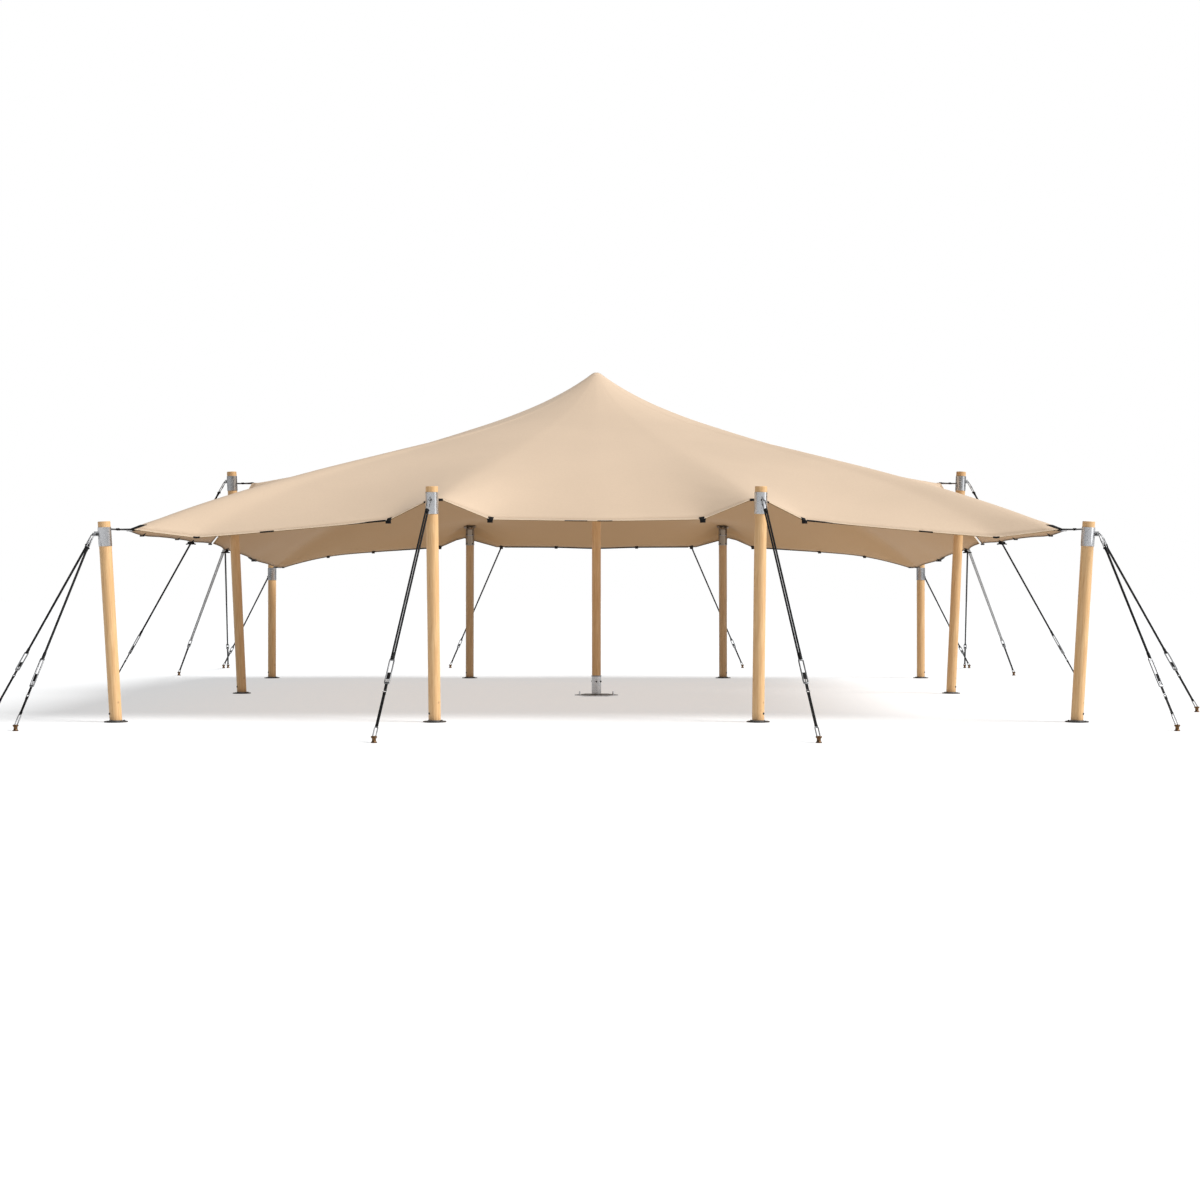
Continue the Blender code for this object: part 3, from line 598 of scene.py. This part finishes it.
def make_materials():
    chosen = settings()
    mottle_group()
    weave_group()
    grain_group()
    fabric, steel = chosen.fabric, chosen.steel
    fabric_material("stretch_knit", tuple(fabric.colour))
    fabric_material("hem_knit", shade(fabric.colour, 0.93))
    # Painted highlight: the rolled edge takes this lighter colour
    fabric_material("edge_highlight_knit", tuple(fabric.rim))
    # Painted shadow: a near-black copy of the fabric, for the tube that stands in for the shadow under the
    # rolled edge
    fabric_material("painted_shadow_knit", shade(fabric.colour, 0.22))
    webbing_material("black_webbing", tuple(fabric.webbing))
    metal_material("polished_steel", tuple(steel.bright), 0.27, 1.0, 0.004)
    metal_material("zinc_steel", shade(steel.bright, 0.45), 0.42, 1.0, 0.03)
    metal_material("painted_steel", tuple(steel.dark), 0.5, 0.0, 0.03)
    metal_material("aged_steel", tuple(steel.aged), 0.34, 1.0, 0.03)
    metal_material("stake_brass", tuple(steel.brass), 0.45, 1.0, 0.10)


def material(name):
    return bpy.data.materials[name]


# The canopy's sheet

def canopy_net():
    """The apex and the net of rays and rings of the canopy's upper face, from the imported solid."""
    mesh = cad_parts["canopy"].data
    upper = set()
    for face in mesh.polygons:
        corners = [mesh.vertices[i].co for i in face.vertices]
        shortest = min((a - b).length for a, b in zip(corners, corners[1:] + corners[:1]))
        on_rim = shortest < SOLID_FABRIC * 1.2 and face.center.to_2d().length > 1
        if face.normal.z > 0.02 and not on_rim:
            upper.update(face.vertices)
    places = {tuple(round(c, 5) for c in mesh.vertices[i].co) for i in upper}
    points = np.array(sorted(places))
    reach = np.hypot(points[:, 0], points[:, 1])
    apex = points[np.argmin(reach)]
    points = points[reach > 0.02]
    angle = np.arctan2(points[:, 1], points[:, 0])
    points = points[np.argsort(angle)]
    breaks = np.nonzero(np.diff(np.sort(angle)) > 0.004)[0] + 1
    rays = [ray[np.argsort(np.hypot(ray[:, 0], ray[:, 1]))] for ray in np.split(points, breaks)]
    full = max(rays, key=len)
    reach = np.hypot(full[:, 0], full[:, 1])
    shares = (reach - reach[0]) / (reach[-1] - reach[0])
    tree = BVHTree.FromPolygons([v.co for v in mesh.vertices], [p.vertices for p in mesh.polygons])
    net = []
    for ray in rays:
        hem = ray[-1]
        hem_reach = math.hypot(hem[0], hem[1])
        row = []
        for share in shares[:-1]:
            scale = (reach[0] + (hem_reach - reach[0]) * share) / hem_reach
            row.append(tree.ray_cast(Vector((hem[0] * scale, hem[1] * scale, 10)), -UP)[0][:])
        net.append([*row, tuple(hem)])
    return apex, np.array(net), shares


def corner_weights(hem):
    """1 for a hem point where the outline turns sharply, and 0 elsewhere."""
    before = hem - np.roll(hem, 1, axis=0)
    after = np.roll(hem, -1, axis=0) - hem
    length = np.linalg.norm(before, axis=1) * np.linalg.norm(after, axis=1)
    turn = np.arccos(np.clip((before * after).sum(axis=1) / length, -1, 1))
    return (turn > CORNER_TURN).astype(float)


def hermite(start, end, leave, reach, span, t):
    """A point of the smooth curve from start to end that has the given slopes at both."""
    return ((2 * t**3 - 3 * t**2 + 1) * start + (t**3 - 2 * t**2 + t) * span * leave
            + (3 * t**2 - 2 * t**3) * end + (t**3 - t**2) * span * reach)


def spline_round(net, corners, sharpness, step):
    """The net with more rays: a smooth closed curve round each ring, less smooth at the corners."""
    hem = net[:, -1]
    ahead = np.linalg.norm(np.roll(hem, -1, axis=0) - hem, axis=1)[:, None, None]
    behind = np.roll(ahead, 1, axis=0)
    slope = (np.roll(net, -1, axis=0) - net) / ahead
    slope_back = np.roll(slope, 1, axis=0)
    middle = (ahead * slope_back + behind * slope) / (ahead + behind)
    next_corner = np.roll(corners, -1)[:, None, None]
    last_corner = np.roll(corners, 1)[:, None, None]
    leave = np.where(next_corner > 0, slope, 2 * slope - np.roll(middle, -1, axis=0))
    reach = np.where(last_corner > 0, slope_back, 2 * slope_back - np.roll(middle, 1, axis=0))
    weight = corners[:, None, None] * sharpness[None, :, None]
    leave = middle * (1 - weight) + leave * weight
    reach = middle * (1 - weight) + reach * weight
    rows = []
    for i in range(len(net)):
        j = (i + 1) % len(net)
        span = ahead[i, 0, 0]
        count = max(1, math.ceil(span / step))
        rows += [hermite(net[i], net[j], leave[i], reach[j], span, k / count) for k in range(count)]
    return np.array(rows)


def spline_out(net, shares, wanted):
    """The net with more rings: a smooth curve along each ray, read at the wanted shares."""
    spans = np.diff(shares)
    slopes = np.diff(net, axis=1) / spans[None, :, None]
    left, right = spans[:-1][None, :, None], spans[1:][None, :, None]
    inner = (right * slopes[:, :-1] + left * slopes[:, 1:]) / (left + right)
    first = 2 * slopes[:, :1] - inner[:, :1]
    last = 2 * slopes[:, -1:] - inner[:, -1:]
    tangents = np.concatenate((first, inner, last), axis=1)
    rings = []
    for share in wanted:
        i = min(max(int(np.searchsorted(shares, share, side="right")) - 1, 0), len(spans) - 1)
        rings.append(hermite(net[:, i], net[:, i + 1], tangents[:, i], tangents[:, i + 1], spans[i],
                             (share - shares[i]) / spans[i]))
    return np.stack(rings, axis=1)


def tip_places(net, corners):
    """The middle of each short straight of the hem between two corners, where a pole or guy pulls."""
    hem = net[:, -1]
    places = []
    for i in np.nonzero(corners > 0)[0]:
        j = (i + 1) % len(hem)
        if corners[j] > 0 and np.linalg.norm(hem[j] - hem[i]) < SHORT_STRAIGHT:
            places.append((hem[i] + hem[j]) / 2)
    return places


def crease(net, tips, depth):
    """Small creases that fan out from each fixing and die away, added to the heights."""
    for tip in tips:
        inward = -tip[:2] / np.linalg.norm(tip[:2])
        offset = net[..., :2] - tip[:2]
        distance = np.hypot(offset[..., 0], offset[..., 1])
        along = offset @ inward
        across = offset @ np.array((-inward[1], inward[0]))
        angle = np.arctan2(across, np.maximum(along, 1e-3))
        rise = np.clip((distance - CREASE_START) / CREASE_RISE, 0, 1)
        fade = np.exp(-distance / CREASE_REACH) * np.exp(-(angle / CREASE_SPREAD) ** 2)
        net[..., 2] += depth * rise * fade * np.cos(angle * CREASE_FOLDS)


def soften(net, shares):
    """Rounds the ridges between the rays, but not the hem or the fabric over the back poles' caps."""
    caps = [solid_points("cap_back" + suffix) for suffix, _ in SIDES]
    tops = [cap[np.argmax(cap[:, 2])][:2] for cap in caps]
    free = 1 - shares[None, :] ** 6
    for top in tops:
        away = np.hypot(*(net[..., :2] - top).transpose(2, 0, 1))
        free = free * np.clip((away - CAP_CLEAR) / CAP_FADE, 0, 1)
    height = net[..., 2]
    for _ in range(SOFTENING):
        around = (np.roll(height, 1, axis=0) + np.roll(height, -1, axis=0)) / 2
        height += (around - height) * 0.5 * free


def sheet_net():
    """The finished net of the sheet's upper face, as rays by rings, and its apex."""
    chosen = settings().fabric
    apex, net, shares = canopy_net()
    corners = corner_weights(net[:, -1])
    tips = tip_places(net, corners)
    net = spline_round(net, corners, shares**3, chosen.step)
    parts = [np.linspace(a, b, max(2, math.ceil((b - a) / RING_SPACING) + 1))
             for a, b in zip(shares, shares[1:])]
    wanted = np.unique(np.concatenate(parts))
    net = spline_out(net, shares, wanted)
    soften(net, wanted)
    crease(net, tips, chosen.crease)
    tip = []
    for share in np.linspace(0, 1, TIP_RINGS + 2)[1:-1]:
        ring = apex + (net[:, 0] - apex) * share
        ring[:, 2] = apex[2] + (net[:, 0, 2] - apex[2]) * share**2
        tip.append(ring)
    return apex, np.concatenate((np.stack(tip, axis=1), net), axis=1)


def build_canopy():
    """The sheet itself, as one closed mesh with its thickness below the upper face."""
    apex, net = sheet_net()
    rays, rings = net.shape[:2]
    bm = bmesh.new()
    top = bm.verts.new(apex)
    verts = [[bm.verts.new(net[i, j]) for j in range(rings)] for i in range(rays)]
    for i in range(rays):
        k = (i + 1) % rays
        bm.faces.new((top, verts[i][0], verts[k][0]))
        for j in range(rings - 1):
            bm.faces.new((verts[i][j], verts[i][j + 1], verts[k][j + 1], verts[k][j]))
    sheet = piece("canopy_sheet", bm, "stretch_fabric", material("stretch_knit"), "canopy")
    shell = sheet.modifiers.new("thickness", "SOLIDIFY")
    shell.thickness = settings().fabric.thickness
    shell.offset = -1
    return Cloth(sheet, rays, rings)


class Cloth:
    """The finished sheet, to be asked for its surface above a place and for its hem."""

    def __init__(self, sheet, rays, rings):
        mesh = sheet.data
        self.tree = BVHTree.FromPolygons([v.co for v in mesh.vertices], [p.vertices for p in mesh.polygons])
        self.hem = [mesh.vertices[(i + 1) * rings].co.copy() for i in range(rays)]
        self.inner = [mesh.vertices[(i + 1) * rings - 2].co.copy() for i in range(rays)]

    def over(self, x, y):
        """The point of the upper face above (x, y) and its normal, or None."""
        place, normal, _, _ = self.tree.ray_cast(Vector((x, y, 10)), -UP)
        if place is None:
            return None
        return place, normal if normal.z > 0 else -normal

    def edge(self, i, share=0.0):
        """A place on the hem, some share of the way from one point to the next; and along, inward and up."""
        after = (i + 1) % len(self.hem)
        outer = self.hem[i].lerp(self.hem[after], share)
        inward = (self.inner[i].lerp(self.inner[after], share) - outer).normalized()
        along = (self.hem[after] - (self.hem[i] if share else self.hem[i - 1])).normalized()
        normal = inward.cross(along).normalized()
        return outer, along, inward, normal if normal.z > 0 else -normal

    def edge_at(self, x, y):
        """The same for the place on the hem nearest (x, y) in plan."""
        found = []
        for i, outer in enumerate(self.hem):
            span = (self.hem[(i + 1) % len(self.hem)] - outer).to_2d()
            away = Vector((x, y)) - outer.to_2d()
            share = min(max(away.dot(span) / span.length_squared, 0.001), 0.999)
            found.append(((away - span * share).length, i, share))
        _, i, share = min(found)
        return self.edge(i, share)


def add_strip(bm, rows, thickness):
    """A flat strip of cloth from rows of (left, right, normal), standing thickness proud of the sheet."""
    rings = []
    for left, right, normal in rows:
        low, high = normal * 0.0004, normal * (0.0004 + thickness)
        rings.append([bm.verts.new(p) for p in (left + low, right + low, right + high, left + high)])
    skin(bm, rings)


def strap_rows(cloth, start, end, width, steps):
    """Rows of a strap of the given width that lies on the sheet from start to end, in plan."""
    start, end = Vector(start[:2]), Vector(end[:2])
    side = (end - start).orthogonal().normalized() * width / 2
    rows = []
    for k in range(steps + 1):
        centre = start.lerp(end, k / steps)
        found = [cloth.over(*(centre + side * s)) for s in (-1, 1)]
        if None in found:
            continue
        rows.append((found[0][0], found[1][0], (found[0][1] + found[1][1]).normalized()))
    return rows


def build_hem(cloth):
    """A stitched band, the rolled edge with painted highlight, and a dark tube under it that paints the
    shadow below the edge.
    """
    chosen = settings().fabric
    band, thread, edge, turn = bmesh.new(), bmesh.new(), bmesh.new(), bmesh.new()
    rows = [cloth.edge(i) for i in range(len(cloth.hem))]
    strip = [(outer, outer + inward * chosen.band, normal) for outer, _, inward, normal in rows]
    add_strip(band, strip + strip[:1], 0.0012)
    for share in (0.25, 0.85):
        line = [outer + inward * chosen.band * share + normal * 0.0018 for outer, _, inward, normal in rows]
        add_tube(thread, line, 0.0009, 4, closed=True)
    add_tube(edge, [outer - normal * 0.001 for outer, _, _, normal in rows], chosen.edge, 8, closed=True)
    # Painted shadow: a thin dark tube just under the rolled edge stands in for the shadow line below it
    under = [outer + inward * 0.003 - normal * 0.007 for outer, _, inward, normal in rows]
    add_tube(turn, under, chosen.edge * 0.75, 8, closed=True)
    # The rolled edge's finish carries painted highlight, and the turn under it is a painted shadow line
    for name, bm, finish in (("hem_band", band, "hem_knit"), ("hem_stitching", thread, "hem_knit"),
                             ("hem_edge", edge, "edge_highlight_knit"), ("hem_painted_shadow", turn, "painted_shadow_knit")):
        piece(name, bm, "stretch_fabric", material(finish))


def add_tab(bm, cloth, place, length, hang):
    """Webbing folded over the hem, with an end that hangs from it, or with a bow if it is long."""
    outer, along, inward, _ = cloth.edge_at(*place)
    add_box(bm, placed(outer + inward * 0.036, outer, along), length, 0.017, 0.050, 0.003)
    start = outer - inward * 0.004
    if hang:
        add_box(bm, placed(start, start - UP, LEVEL), length * 0.9, 0.009, hang, 0.002)
    if length > KNOTTED:
        add_knot(bm, start - UP * hang * 0.7, KNOT + 0.004, CORD)
        for way in (-1, 1):
            ear = start + LEVEL * way * 0.062 - UP * (hang * 0.7 + 0.010)
            add_tube(bm, [start - UP * hang * 0.6, ear], [0.012, 0.007], 8)


def add_cord(bm, cloth, start, end, first, last):
    """Black cord that lies along the hem and goes from one radius to another."""
    line, radii = [], []
    for share in np.linspace(0, 1, 13):
        outer, _, _, normal = cloth.edge_at(*Vector(start).lerp(Vector(end), share))
        line.append(outer - normal * 0.003)
        radii.append(first + (last - first) * share)
    add_tube(bm, line, radii, 10)


def build_webbing(cloth):
    """The tabs, cords and corner patches along the hem."""
    tabs, cords, patches = bmesh.new(), bmesh.new(), bmesh.new()
    for _, side in SIDES:
        for (x, y), length, hang in TABS:
            add_tab(tabs, cloth, (x * side, y), length, hang)
        for start, end, first, last in CORDS:
            add_cord(cords, cloth, (start[0] * side, start[1]), (end[0] * side, end[1]), first, last)
        for pole, (_, (x, y), _) in POLES.items():
            outer, _, inward, _ = cloth.edge_at(x * side, y)
            reach = 0.16 if pole == "front_corner" else 0.05
            rows = strap_rows(cloth, outer + inward * 0.008, outer + inward * reach, 0.135, 8)
            add_strip(patches, rows, 0.004)
    for first, last in MIDDLE_CORDS:
        add_cord(cords, cloth, (first, FRONT_EDGE), (last, FRONT_EDGE), 0.007, 0.007)
    for name, bm in (("hem_tabs", tabs), ("hem_cords", cords), ("corner_patches", patches)):
        piece(name, bm, "guy_rope", material("black_webbing"))


# Timber

def solid_points(name):
    return np.array([v.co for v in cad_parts[name].data.vertices])


def middle_of(points):
    return Vector((points.min(axis=0) + points.max(axis=0)) / 2)


def pole_ends(name):
    """The middle of a pole's lower and upper end, from its solid."""
    points = solid_points(name)
    height = points[:, 2]
    return middle_of(points[height < height.min() + 0.03]), middle_of(points[height > height.max() - 0.03])


def build_timber():
    """Gives each pole its own timber, whose grain follows the way it leans, with painted shade on the poles
    further back.
    """
    # Painted shade: the centre pole and the poles further back get darker timber
    painted_shade_tones = {"centre_pole": 0.9}
    for suffix, _ in SIDES:
        for pole in (*POLES, "back"):
            painted_shade_tones["pole_" + pole + suffix] = PAINTED_SHADE_TONES.get(pole, 1.0)
    for name, painted_shade_factor in painted_shade_tones.items():
        dress(name, timber_material("timber_" + name, *pole_ends(name), painted_shade_factor))


def dress(name, finish):
    """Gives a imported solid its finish."""
    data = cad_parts[name].data
    data.materials.clear()
    data.materials.append(finish)


# Steel

def build_steel():
    """Gives the heads, feet and caps their metal."""
    for suffix, _ in SIDES:
        for pole in POLES:
            dress("collar_" + pole + suffix, material("polished_steel"))
        for pole in (*POLES, "back"):
            dress("foot_" + pole + suffix, material("painted_steel"))
        dress("cap_back" + suffix, material("aged_steel"))
    dress("centre_pole_foot", material("polished_steel"))
    dress("centre_pole_cap", material("painted_steel"))


def build_heads(cloth):
    """A bolt through each sleeve's lug, and the black cord that holds the fabric's tip to the strut."""
    chosen = settings().steel
    bolts, lashing = bmesh.new(), bmesh.new()
    for suffix, side in SIDES:
        for pole, (height, tip, guy) in POLES.items():
            foot, top = pole_ends("pole_" + pole + suffix)
            down = (foot - top).normalized()
            start = guy_line(guy + suffix)[2]
            out = ((start - top) - down * (start - top).dot(down)).normalized()
            lug = top + down * (BARE_TOP + height * LUG_LEVEL) + out * (SLEEVE_RADIUS + 0.014)
            for way in (down.cross(out), out.cross(down)):
                add_bolt(bolts, lug + way * 0.006, way, chosen.bolt, 0.008)
            outer, _, inward, _ = cloth.edge_at(tip[0] * side, tip[1])
            level = top + down * ((top.z - outer.z) / -down.z)
            across = down.cross(outer - level).normalized()
            meet = outer.lerp(level, 0.5)
            sleeve = level + (outer - level).normalized() * (SLEEVE_RADIUS + 0.004)
            add_knot(lashing, meet, KNOT, CORD)
            for aside in (-across, across):
                hold = outer + inward * 0.008 + aside * 0.055
                add_knot(lashing, hold - inward * 0.014, KNOT + 0.001, CORD)
                add_tube(lashing, [hold, meet + aside * 0.008], [0.010, 0.007], 8)
                add_tube(lashing, [meet + aside * 0.008, sleeve + aside * 0.011], 0.007, 8)
    piece("lug_bolts", bolts, "dark_steel", material("painted_steel"))
    piece("tip_lashings", lashing, "guy_rope", material("black_webbing"))


def build_feet():
    """Bolts on the foot plates, a cross bolt low in each pole, and the centre sleeve's rim and bolts."""
    chosen = settings().steel
    bolts, welds = bmesh.new(), bmesh.new()
    for suffix, side in SIDES:
        for pole in (*POLES, "back"):
            foot, top = pole_ends("pole_" + pole + suffix)
            up = (top - foot).normalized()
            base = Vector((foot.x, foot.y, FOOT_TOP))
            for turn in (45, 135, 225, 315):
                add_bolt(bolts, base + level_turn(turn) * FOOT_BOLT_CIRCLE, UP, chosen.bolt, 0.007)
            add_band(welds, Matrix.Translation(base), POLE_RADIUS + 0.001, POLE_RADIUS + 0.005, 0, WELD)
            out = Vector((side, -0.75, 0))
            out = (out - up * out.dot(up)).normalized()
            add_bolt(bolts, foot + up * CROSS_BOLT_LEVEL + out * POLE_RADIUS, out, chosen.bolt, 0.006)
        low = solid_points("cap_back" + suffix)[:, 2].min()
        foot, top = pole_ends("pole_back" + suffix)
        up = (top - foot).normalized()
        for level, band_low, band_high in ((0.02, -0.018, -0.010), (0.17, -0.012, -0.004)):
            centre = foot + up * ((low - foot.z + level) / up.z)
            for turn in (-40, 40):
                way = Matrix.Rotation(math.radians(turn), 3, up) @ Vector((0, -1, 0))
                add_bolt(bolts, centre + way * SLEEVE_RADIUS, way, chosen.bolt, 0.008)
            add_band(welds, placed(centre, centre + up), SLEEVE_RADIUS - 0.002, SLEEVE_RADIUS + 0.0025,
                     band_low, band_high)
    foot, _ = pole_ends("centre_pole")
    base = Matrix.Translation((foot.x, foot.y, 0))
    for proud, band_low, band_high in ((0.0035, 0.256, 0.268), (0.006, 0.012, 0.020)):
        add_band(welds, base, CENTRE_SLEEVE - 0.002, CENTRE_SLEEVE + proud, band_low, band_high)
    for turn in (-90, -30, 150):
        way = level_turn(turn)
        add_bolt(bolts, Vector((foot.x, foot.y, 0.19)) + way * CENTRE_SLEEVE, way, chosen.bolt * 1.1, 0.010)
    piece("foot_bolts", bolts, "dark_steel", material("painted_steel"))
    piece("welds_and_rims", welds, "galvanised_steel", material("zinc_steel"))


# Guys

def guy_line(name):
    """A guy's ground point, its eye over the stake, its start, and the level way out, from its solid."""
    points = solid_points(name)
    ground = middle_of(points[points[:, 2] < 0.001])
    ground.z = 0
    far = np.linalg.norm(points - np.array(ground), axis=1)
    start = middle_of(points[far > far.max() - 0.030])
    out = Vector((ground.x - start.x, ground.y - start.y, 0)).normalized()
    return ground, ground + UP * STAKE_HEIGHT * 0.8, start, out


def build_guy(name, suffix):
    """A guy's pieces: rope, link and tensioner, straps, and the stake's head."""
    on_pole, twin, tension_at, rope_colour = GUYS[name]
    chosen = settings().guys
    ground, eye, start, out = guy_line(name + suffix)
    along = (eye - start).normalized()
    length = (eye - start).length
    flat = along.cross(out).normalized()
    flat = flat if flat.length > 0.5 else along.orthogonal().normalized()
    frame_from = length * tension_at
    frame_to = frame_from + FRAME_LENGTH
    ring_at = frame_to + 0.085
    link_from = length - 0.13
    rope_from = LINK_LENGTH - 0.006 if on_pole else 0.0

    def at(distance, aside=0.0):
        return start + along * distance + flat * aside

    def frame_at(distance):
        return placed(at(distance), at(distance + 1), flat)

    steel, rope, webbing, stake = bmesh.new(), bmesh.new(), bmesh.new(), bmesh.new()
    if on_pole:
        add_link(steel, at(0.004), at(LINK_LENGTH), *HEAD_LINK, flat)
        add_link(steel, at(-0.012), at(0.022), *SHACKLE, along.cross(flat), 8)
        add_pin(steel, placed(at(LINK_LENGTH * 0.42, 0.0165), at(1, 0.0165)), 0.0085, 0.034)
    for aside in (-chosen.spacing, chosen.spacing) if twin else (0.0,):
        run = [at(rope_from + (frame_from + 0.004 - rope_from) * k / 8, aside) for k in range(9)]
        add_tube(rope, run, chosen.radius * (1.1 if twin else 1.4), 10)
    thick = chosen.radius * (2.2 if twin else 1.8)
    if on_pole or twin:
        add_tube(rope, [at(rope_from - 0.004), at(rope_from + 0.045)], [thick * 0.8, thick], 12)
    add_knot(rope, at(rope_from + 0.012), KNOT, chosen.radius * 0.9)
    add_tube(rope, [at(frame_from - 0.075), at(frame_from - 0.05), at(frame_from + 0.012)],
             [thick * 0.8, thick, thick], 12)
    add_link(steel, at(frame_from), at(frame_to), chosen.frame_width, chosen.wire, flat, 12)
    add_link(steel, at(ring_at - 0.012), at(ring_at + 0.030), chosen.strap + 0.014, RING_WIRE, flat, 8)
    add_link(steel, at(link_from - 0.008), at(length + 0.008), *STAKE_LINK, flat)
    for bar in (frame_from + 0.006, frame_to - 0.024):
        add_box(steel, frame_at(bar), chosen.frame_width * 0.86, 0.017, 0.018, 0.003)
    add_pin(steel, frame_at(frame_to - 0.062), 0.0055, 0.045)
    for where, run in ((frame_from + FRAME_LENGTH * 0.55, 0.085), (frame_to - 0.008, 0.098),
                       (ring_at + 0.022, link_from - ring_at - 0.014)):
        add_box(webbing, frame_at(where), chosen.strap, WEBBING, run, 0.001)
    for sewn in (ring_at + 0.022, link_from - 0.030):
        add_box(webbing, frame_at(sewn), chosen.strap * 1.06, SEWN, 0.030, 0.002)
    add_turned(stake, Matrix.Translation(ground), STAKE_PROFILE, 28)
    braid = rope_material("rope_of_" + name + suffix, *ROPE_COLOURS[rope_colour], tuple(along))
    for kind, bm, slot, finish in (("rope_", rope, "guy_rope", braid),
                                   ("tensioner_", steel, "galvanised_steel", material("zinc_steel")),
                                   ("strap_", webbing, "guy_rope", material("black_webbing")),
                                   ("stake_", stake, "dark_steel", material("stake_brass"))):
        piece(kind + name[4:] + suffix, bm, slot, finish, name + suffix)


# Stage

def aimed(direction):
    return Vector(direction).to_track_quat("-Z", "Y").to_euler()


def build_stage():
    """The camera, a pale floor, and soft studio light."""
    chosen = settings().stage
    scene = bpy.context.scene
    camera = new_object("camera", bpy.data.cameras.new("camera"), (0, -chosen.distance, chosen.eye_height))
    camera.rotation_euler = (math.pi / 2, 0, 0)
    camera.data.lens = chosen.lens
    camera.data.sensor_width = 36
    camera.data.shift_x, camera.data.shift_y = FRAMING
    camera.data.clip_end = 500
    scene.camera = camera
    bm = bmesh.new()
    bmesh.ops.create_grid(bm, x_segments=1, y_segments=1, size=400)
    mesh = bpy.data.meshes.new("floor")
    bm.to_mesh(mesh)
    bm.free()
    finish, _, shader = shader_of("pale_floor", 0.9)
    shader.inputs["Base Color"].default_value = (0.49, 0.49, 0.49, 1)
    shader.inputs["Emission Color"].default_value = (0.97, 0.985, 1.0, 1)
    shader.inputs["Emission Strength"].default_value = 0.56
    shader.inputs["Specular IOR Level"].default_value = 0.1
    mesh.materials.append(finish)
    new_object("floor", mesh, (0, 0, -0.0005))
    scene.world = bpy.data.worlds.new("studio")
    scene.world.use_nodes = True
    tree = scene.world.node_tree
    surround = tree.nodes["Background"].inputs
    surround["Color"].default_value = (1, 1, 1, 1)
    seen = node(tree, "ShaderNodeLightPath").outputs["Is Camera Ray"]
    feed(tree, surround, "Strength", ranged(tree, seen, 0.0, 1.0, chosen.fill, 1.0))
    key = new_object("key", bpy.data.lights.new("key", "SUN"))
    key.data.energy = chosen.key
    key.data.angle = math.radians(30)
    key.rotation_euler = aimed(KEY_AIM)
    card = new_object("card", bpy.data.lights.new("card", "AREA"), CARD_PLACE)
    card.data.energy = chosen.card
    card.data.size = 5
    card.rotation_euler = aimed(CARD_AIM)
    card.visible_camera = False
    scene.view_settings.view_transform = "Standard"
    scene.view_settings.look = "None"


# Operators

class TENT_OT_stage(bpy.types.Operator):
    """Set up the camera, floor and light"""
    bl_idname = "tent.stage"
    bl_label = "Stage"

    def execute(self, context):
        build_stage()
        return {"FINISHED"}


class TENT_OT_materials(bpy.types.Operator):
    """Make the finishes that the pieces share"""
    bl_idname = "tent.materials"
    bl_label = "Finishes"

    def execute(self, context):
        make_materials()
        return {"FINISHED"}


class TENT_OT_canopy(bpy.types.Operator):
    """Stretch the sheet over the poles and finish its hem"""
    bl_idname = "tent.canopy"
    bl_label = "Canopy"

    def execute(self, context):
        cloth = build_canopy()
        build_hem(cloth)
        build_webbing(cloth)
        build_heads(cloth)
        return {"FINISHED"}


class TENT_OT_timber(bpy.types.Operator):
    """Give the poles their timber"""
    bl_idname = "tent.timber"
    bl_label = "Timber"

    def execute(self, context):
        build_timber()
        return {"FINISHED"}


class TENT_OT_steel(bpy.types.Operator):
    """Finish the heads and feet"""
    bl_idname = "tent.steel"
    bl_label = "Steel"

    def execute(self, context):
        build_steel()
        build_feet()
        return {"FINISHED"}


class TENT_OT_guys(bpy.types.Operator):
    """Make the ropes, tensioners, straps and stakes"""
    bl_idname = "tent.guys"
    bl_label = "Guys"

    def execute(self, context):
        for name in GUYS:
            for suffix, _ in SIDES:
                build_guy(name, suffix)
        return {"FINISHED"}


STEPS = (TENT_OT_stage, TENT_OT_materials, TENT_OT_canopy, TENT_OT_timber, TENT_OT_steel, TENT_OT_guys)
GROUPS = (TENT_PG_fabric, TENT_PG_timber, TENT_PG_steel, TENT_PG_guys, TENT_PG_stage, TENT_PG_settings)


class TENT_PT_panel(bpy.types.Panel):
    """Steps that dress the tent"""
    bl_idname = "TENT_PT_panel"
    bl_label = "Stretch Tent"
    bl_space_type = "VIEW_3D"
    bl_region_type = "UI"
    bl_category = "Stretch Tent"

    def draw(self, context):
        for step in STEPS:
            self.layout.operator(step.bl_idname)


def register():
    for kind in (*GROUPS, *STEPS, TENT_PT_panel):
        bpy.utils.register_class(kind)
    bpy.types.Scene.stretch_tent = PointerProperty(type=TENT_PG_settings)


def unregister():
    del bpy.types.Scene.stretch_tent
    for kind in reversed((*GROUPS, *STEPS, TENT_PT_panel)):
        bpy.utils.unregister_class(kind)


def main():
    register()
    for step in STEPS:
        group, name = step.bl_idname.split(".")
        getattr(getattr(bpy.ops, group), name)()


if __name__ == "__main__":
    main()
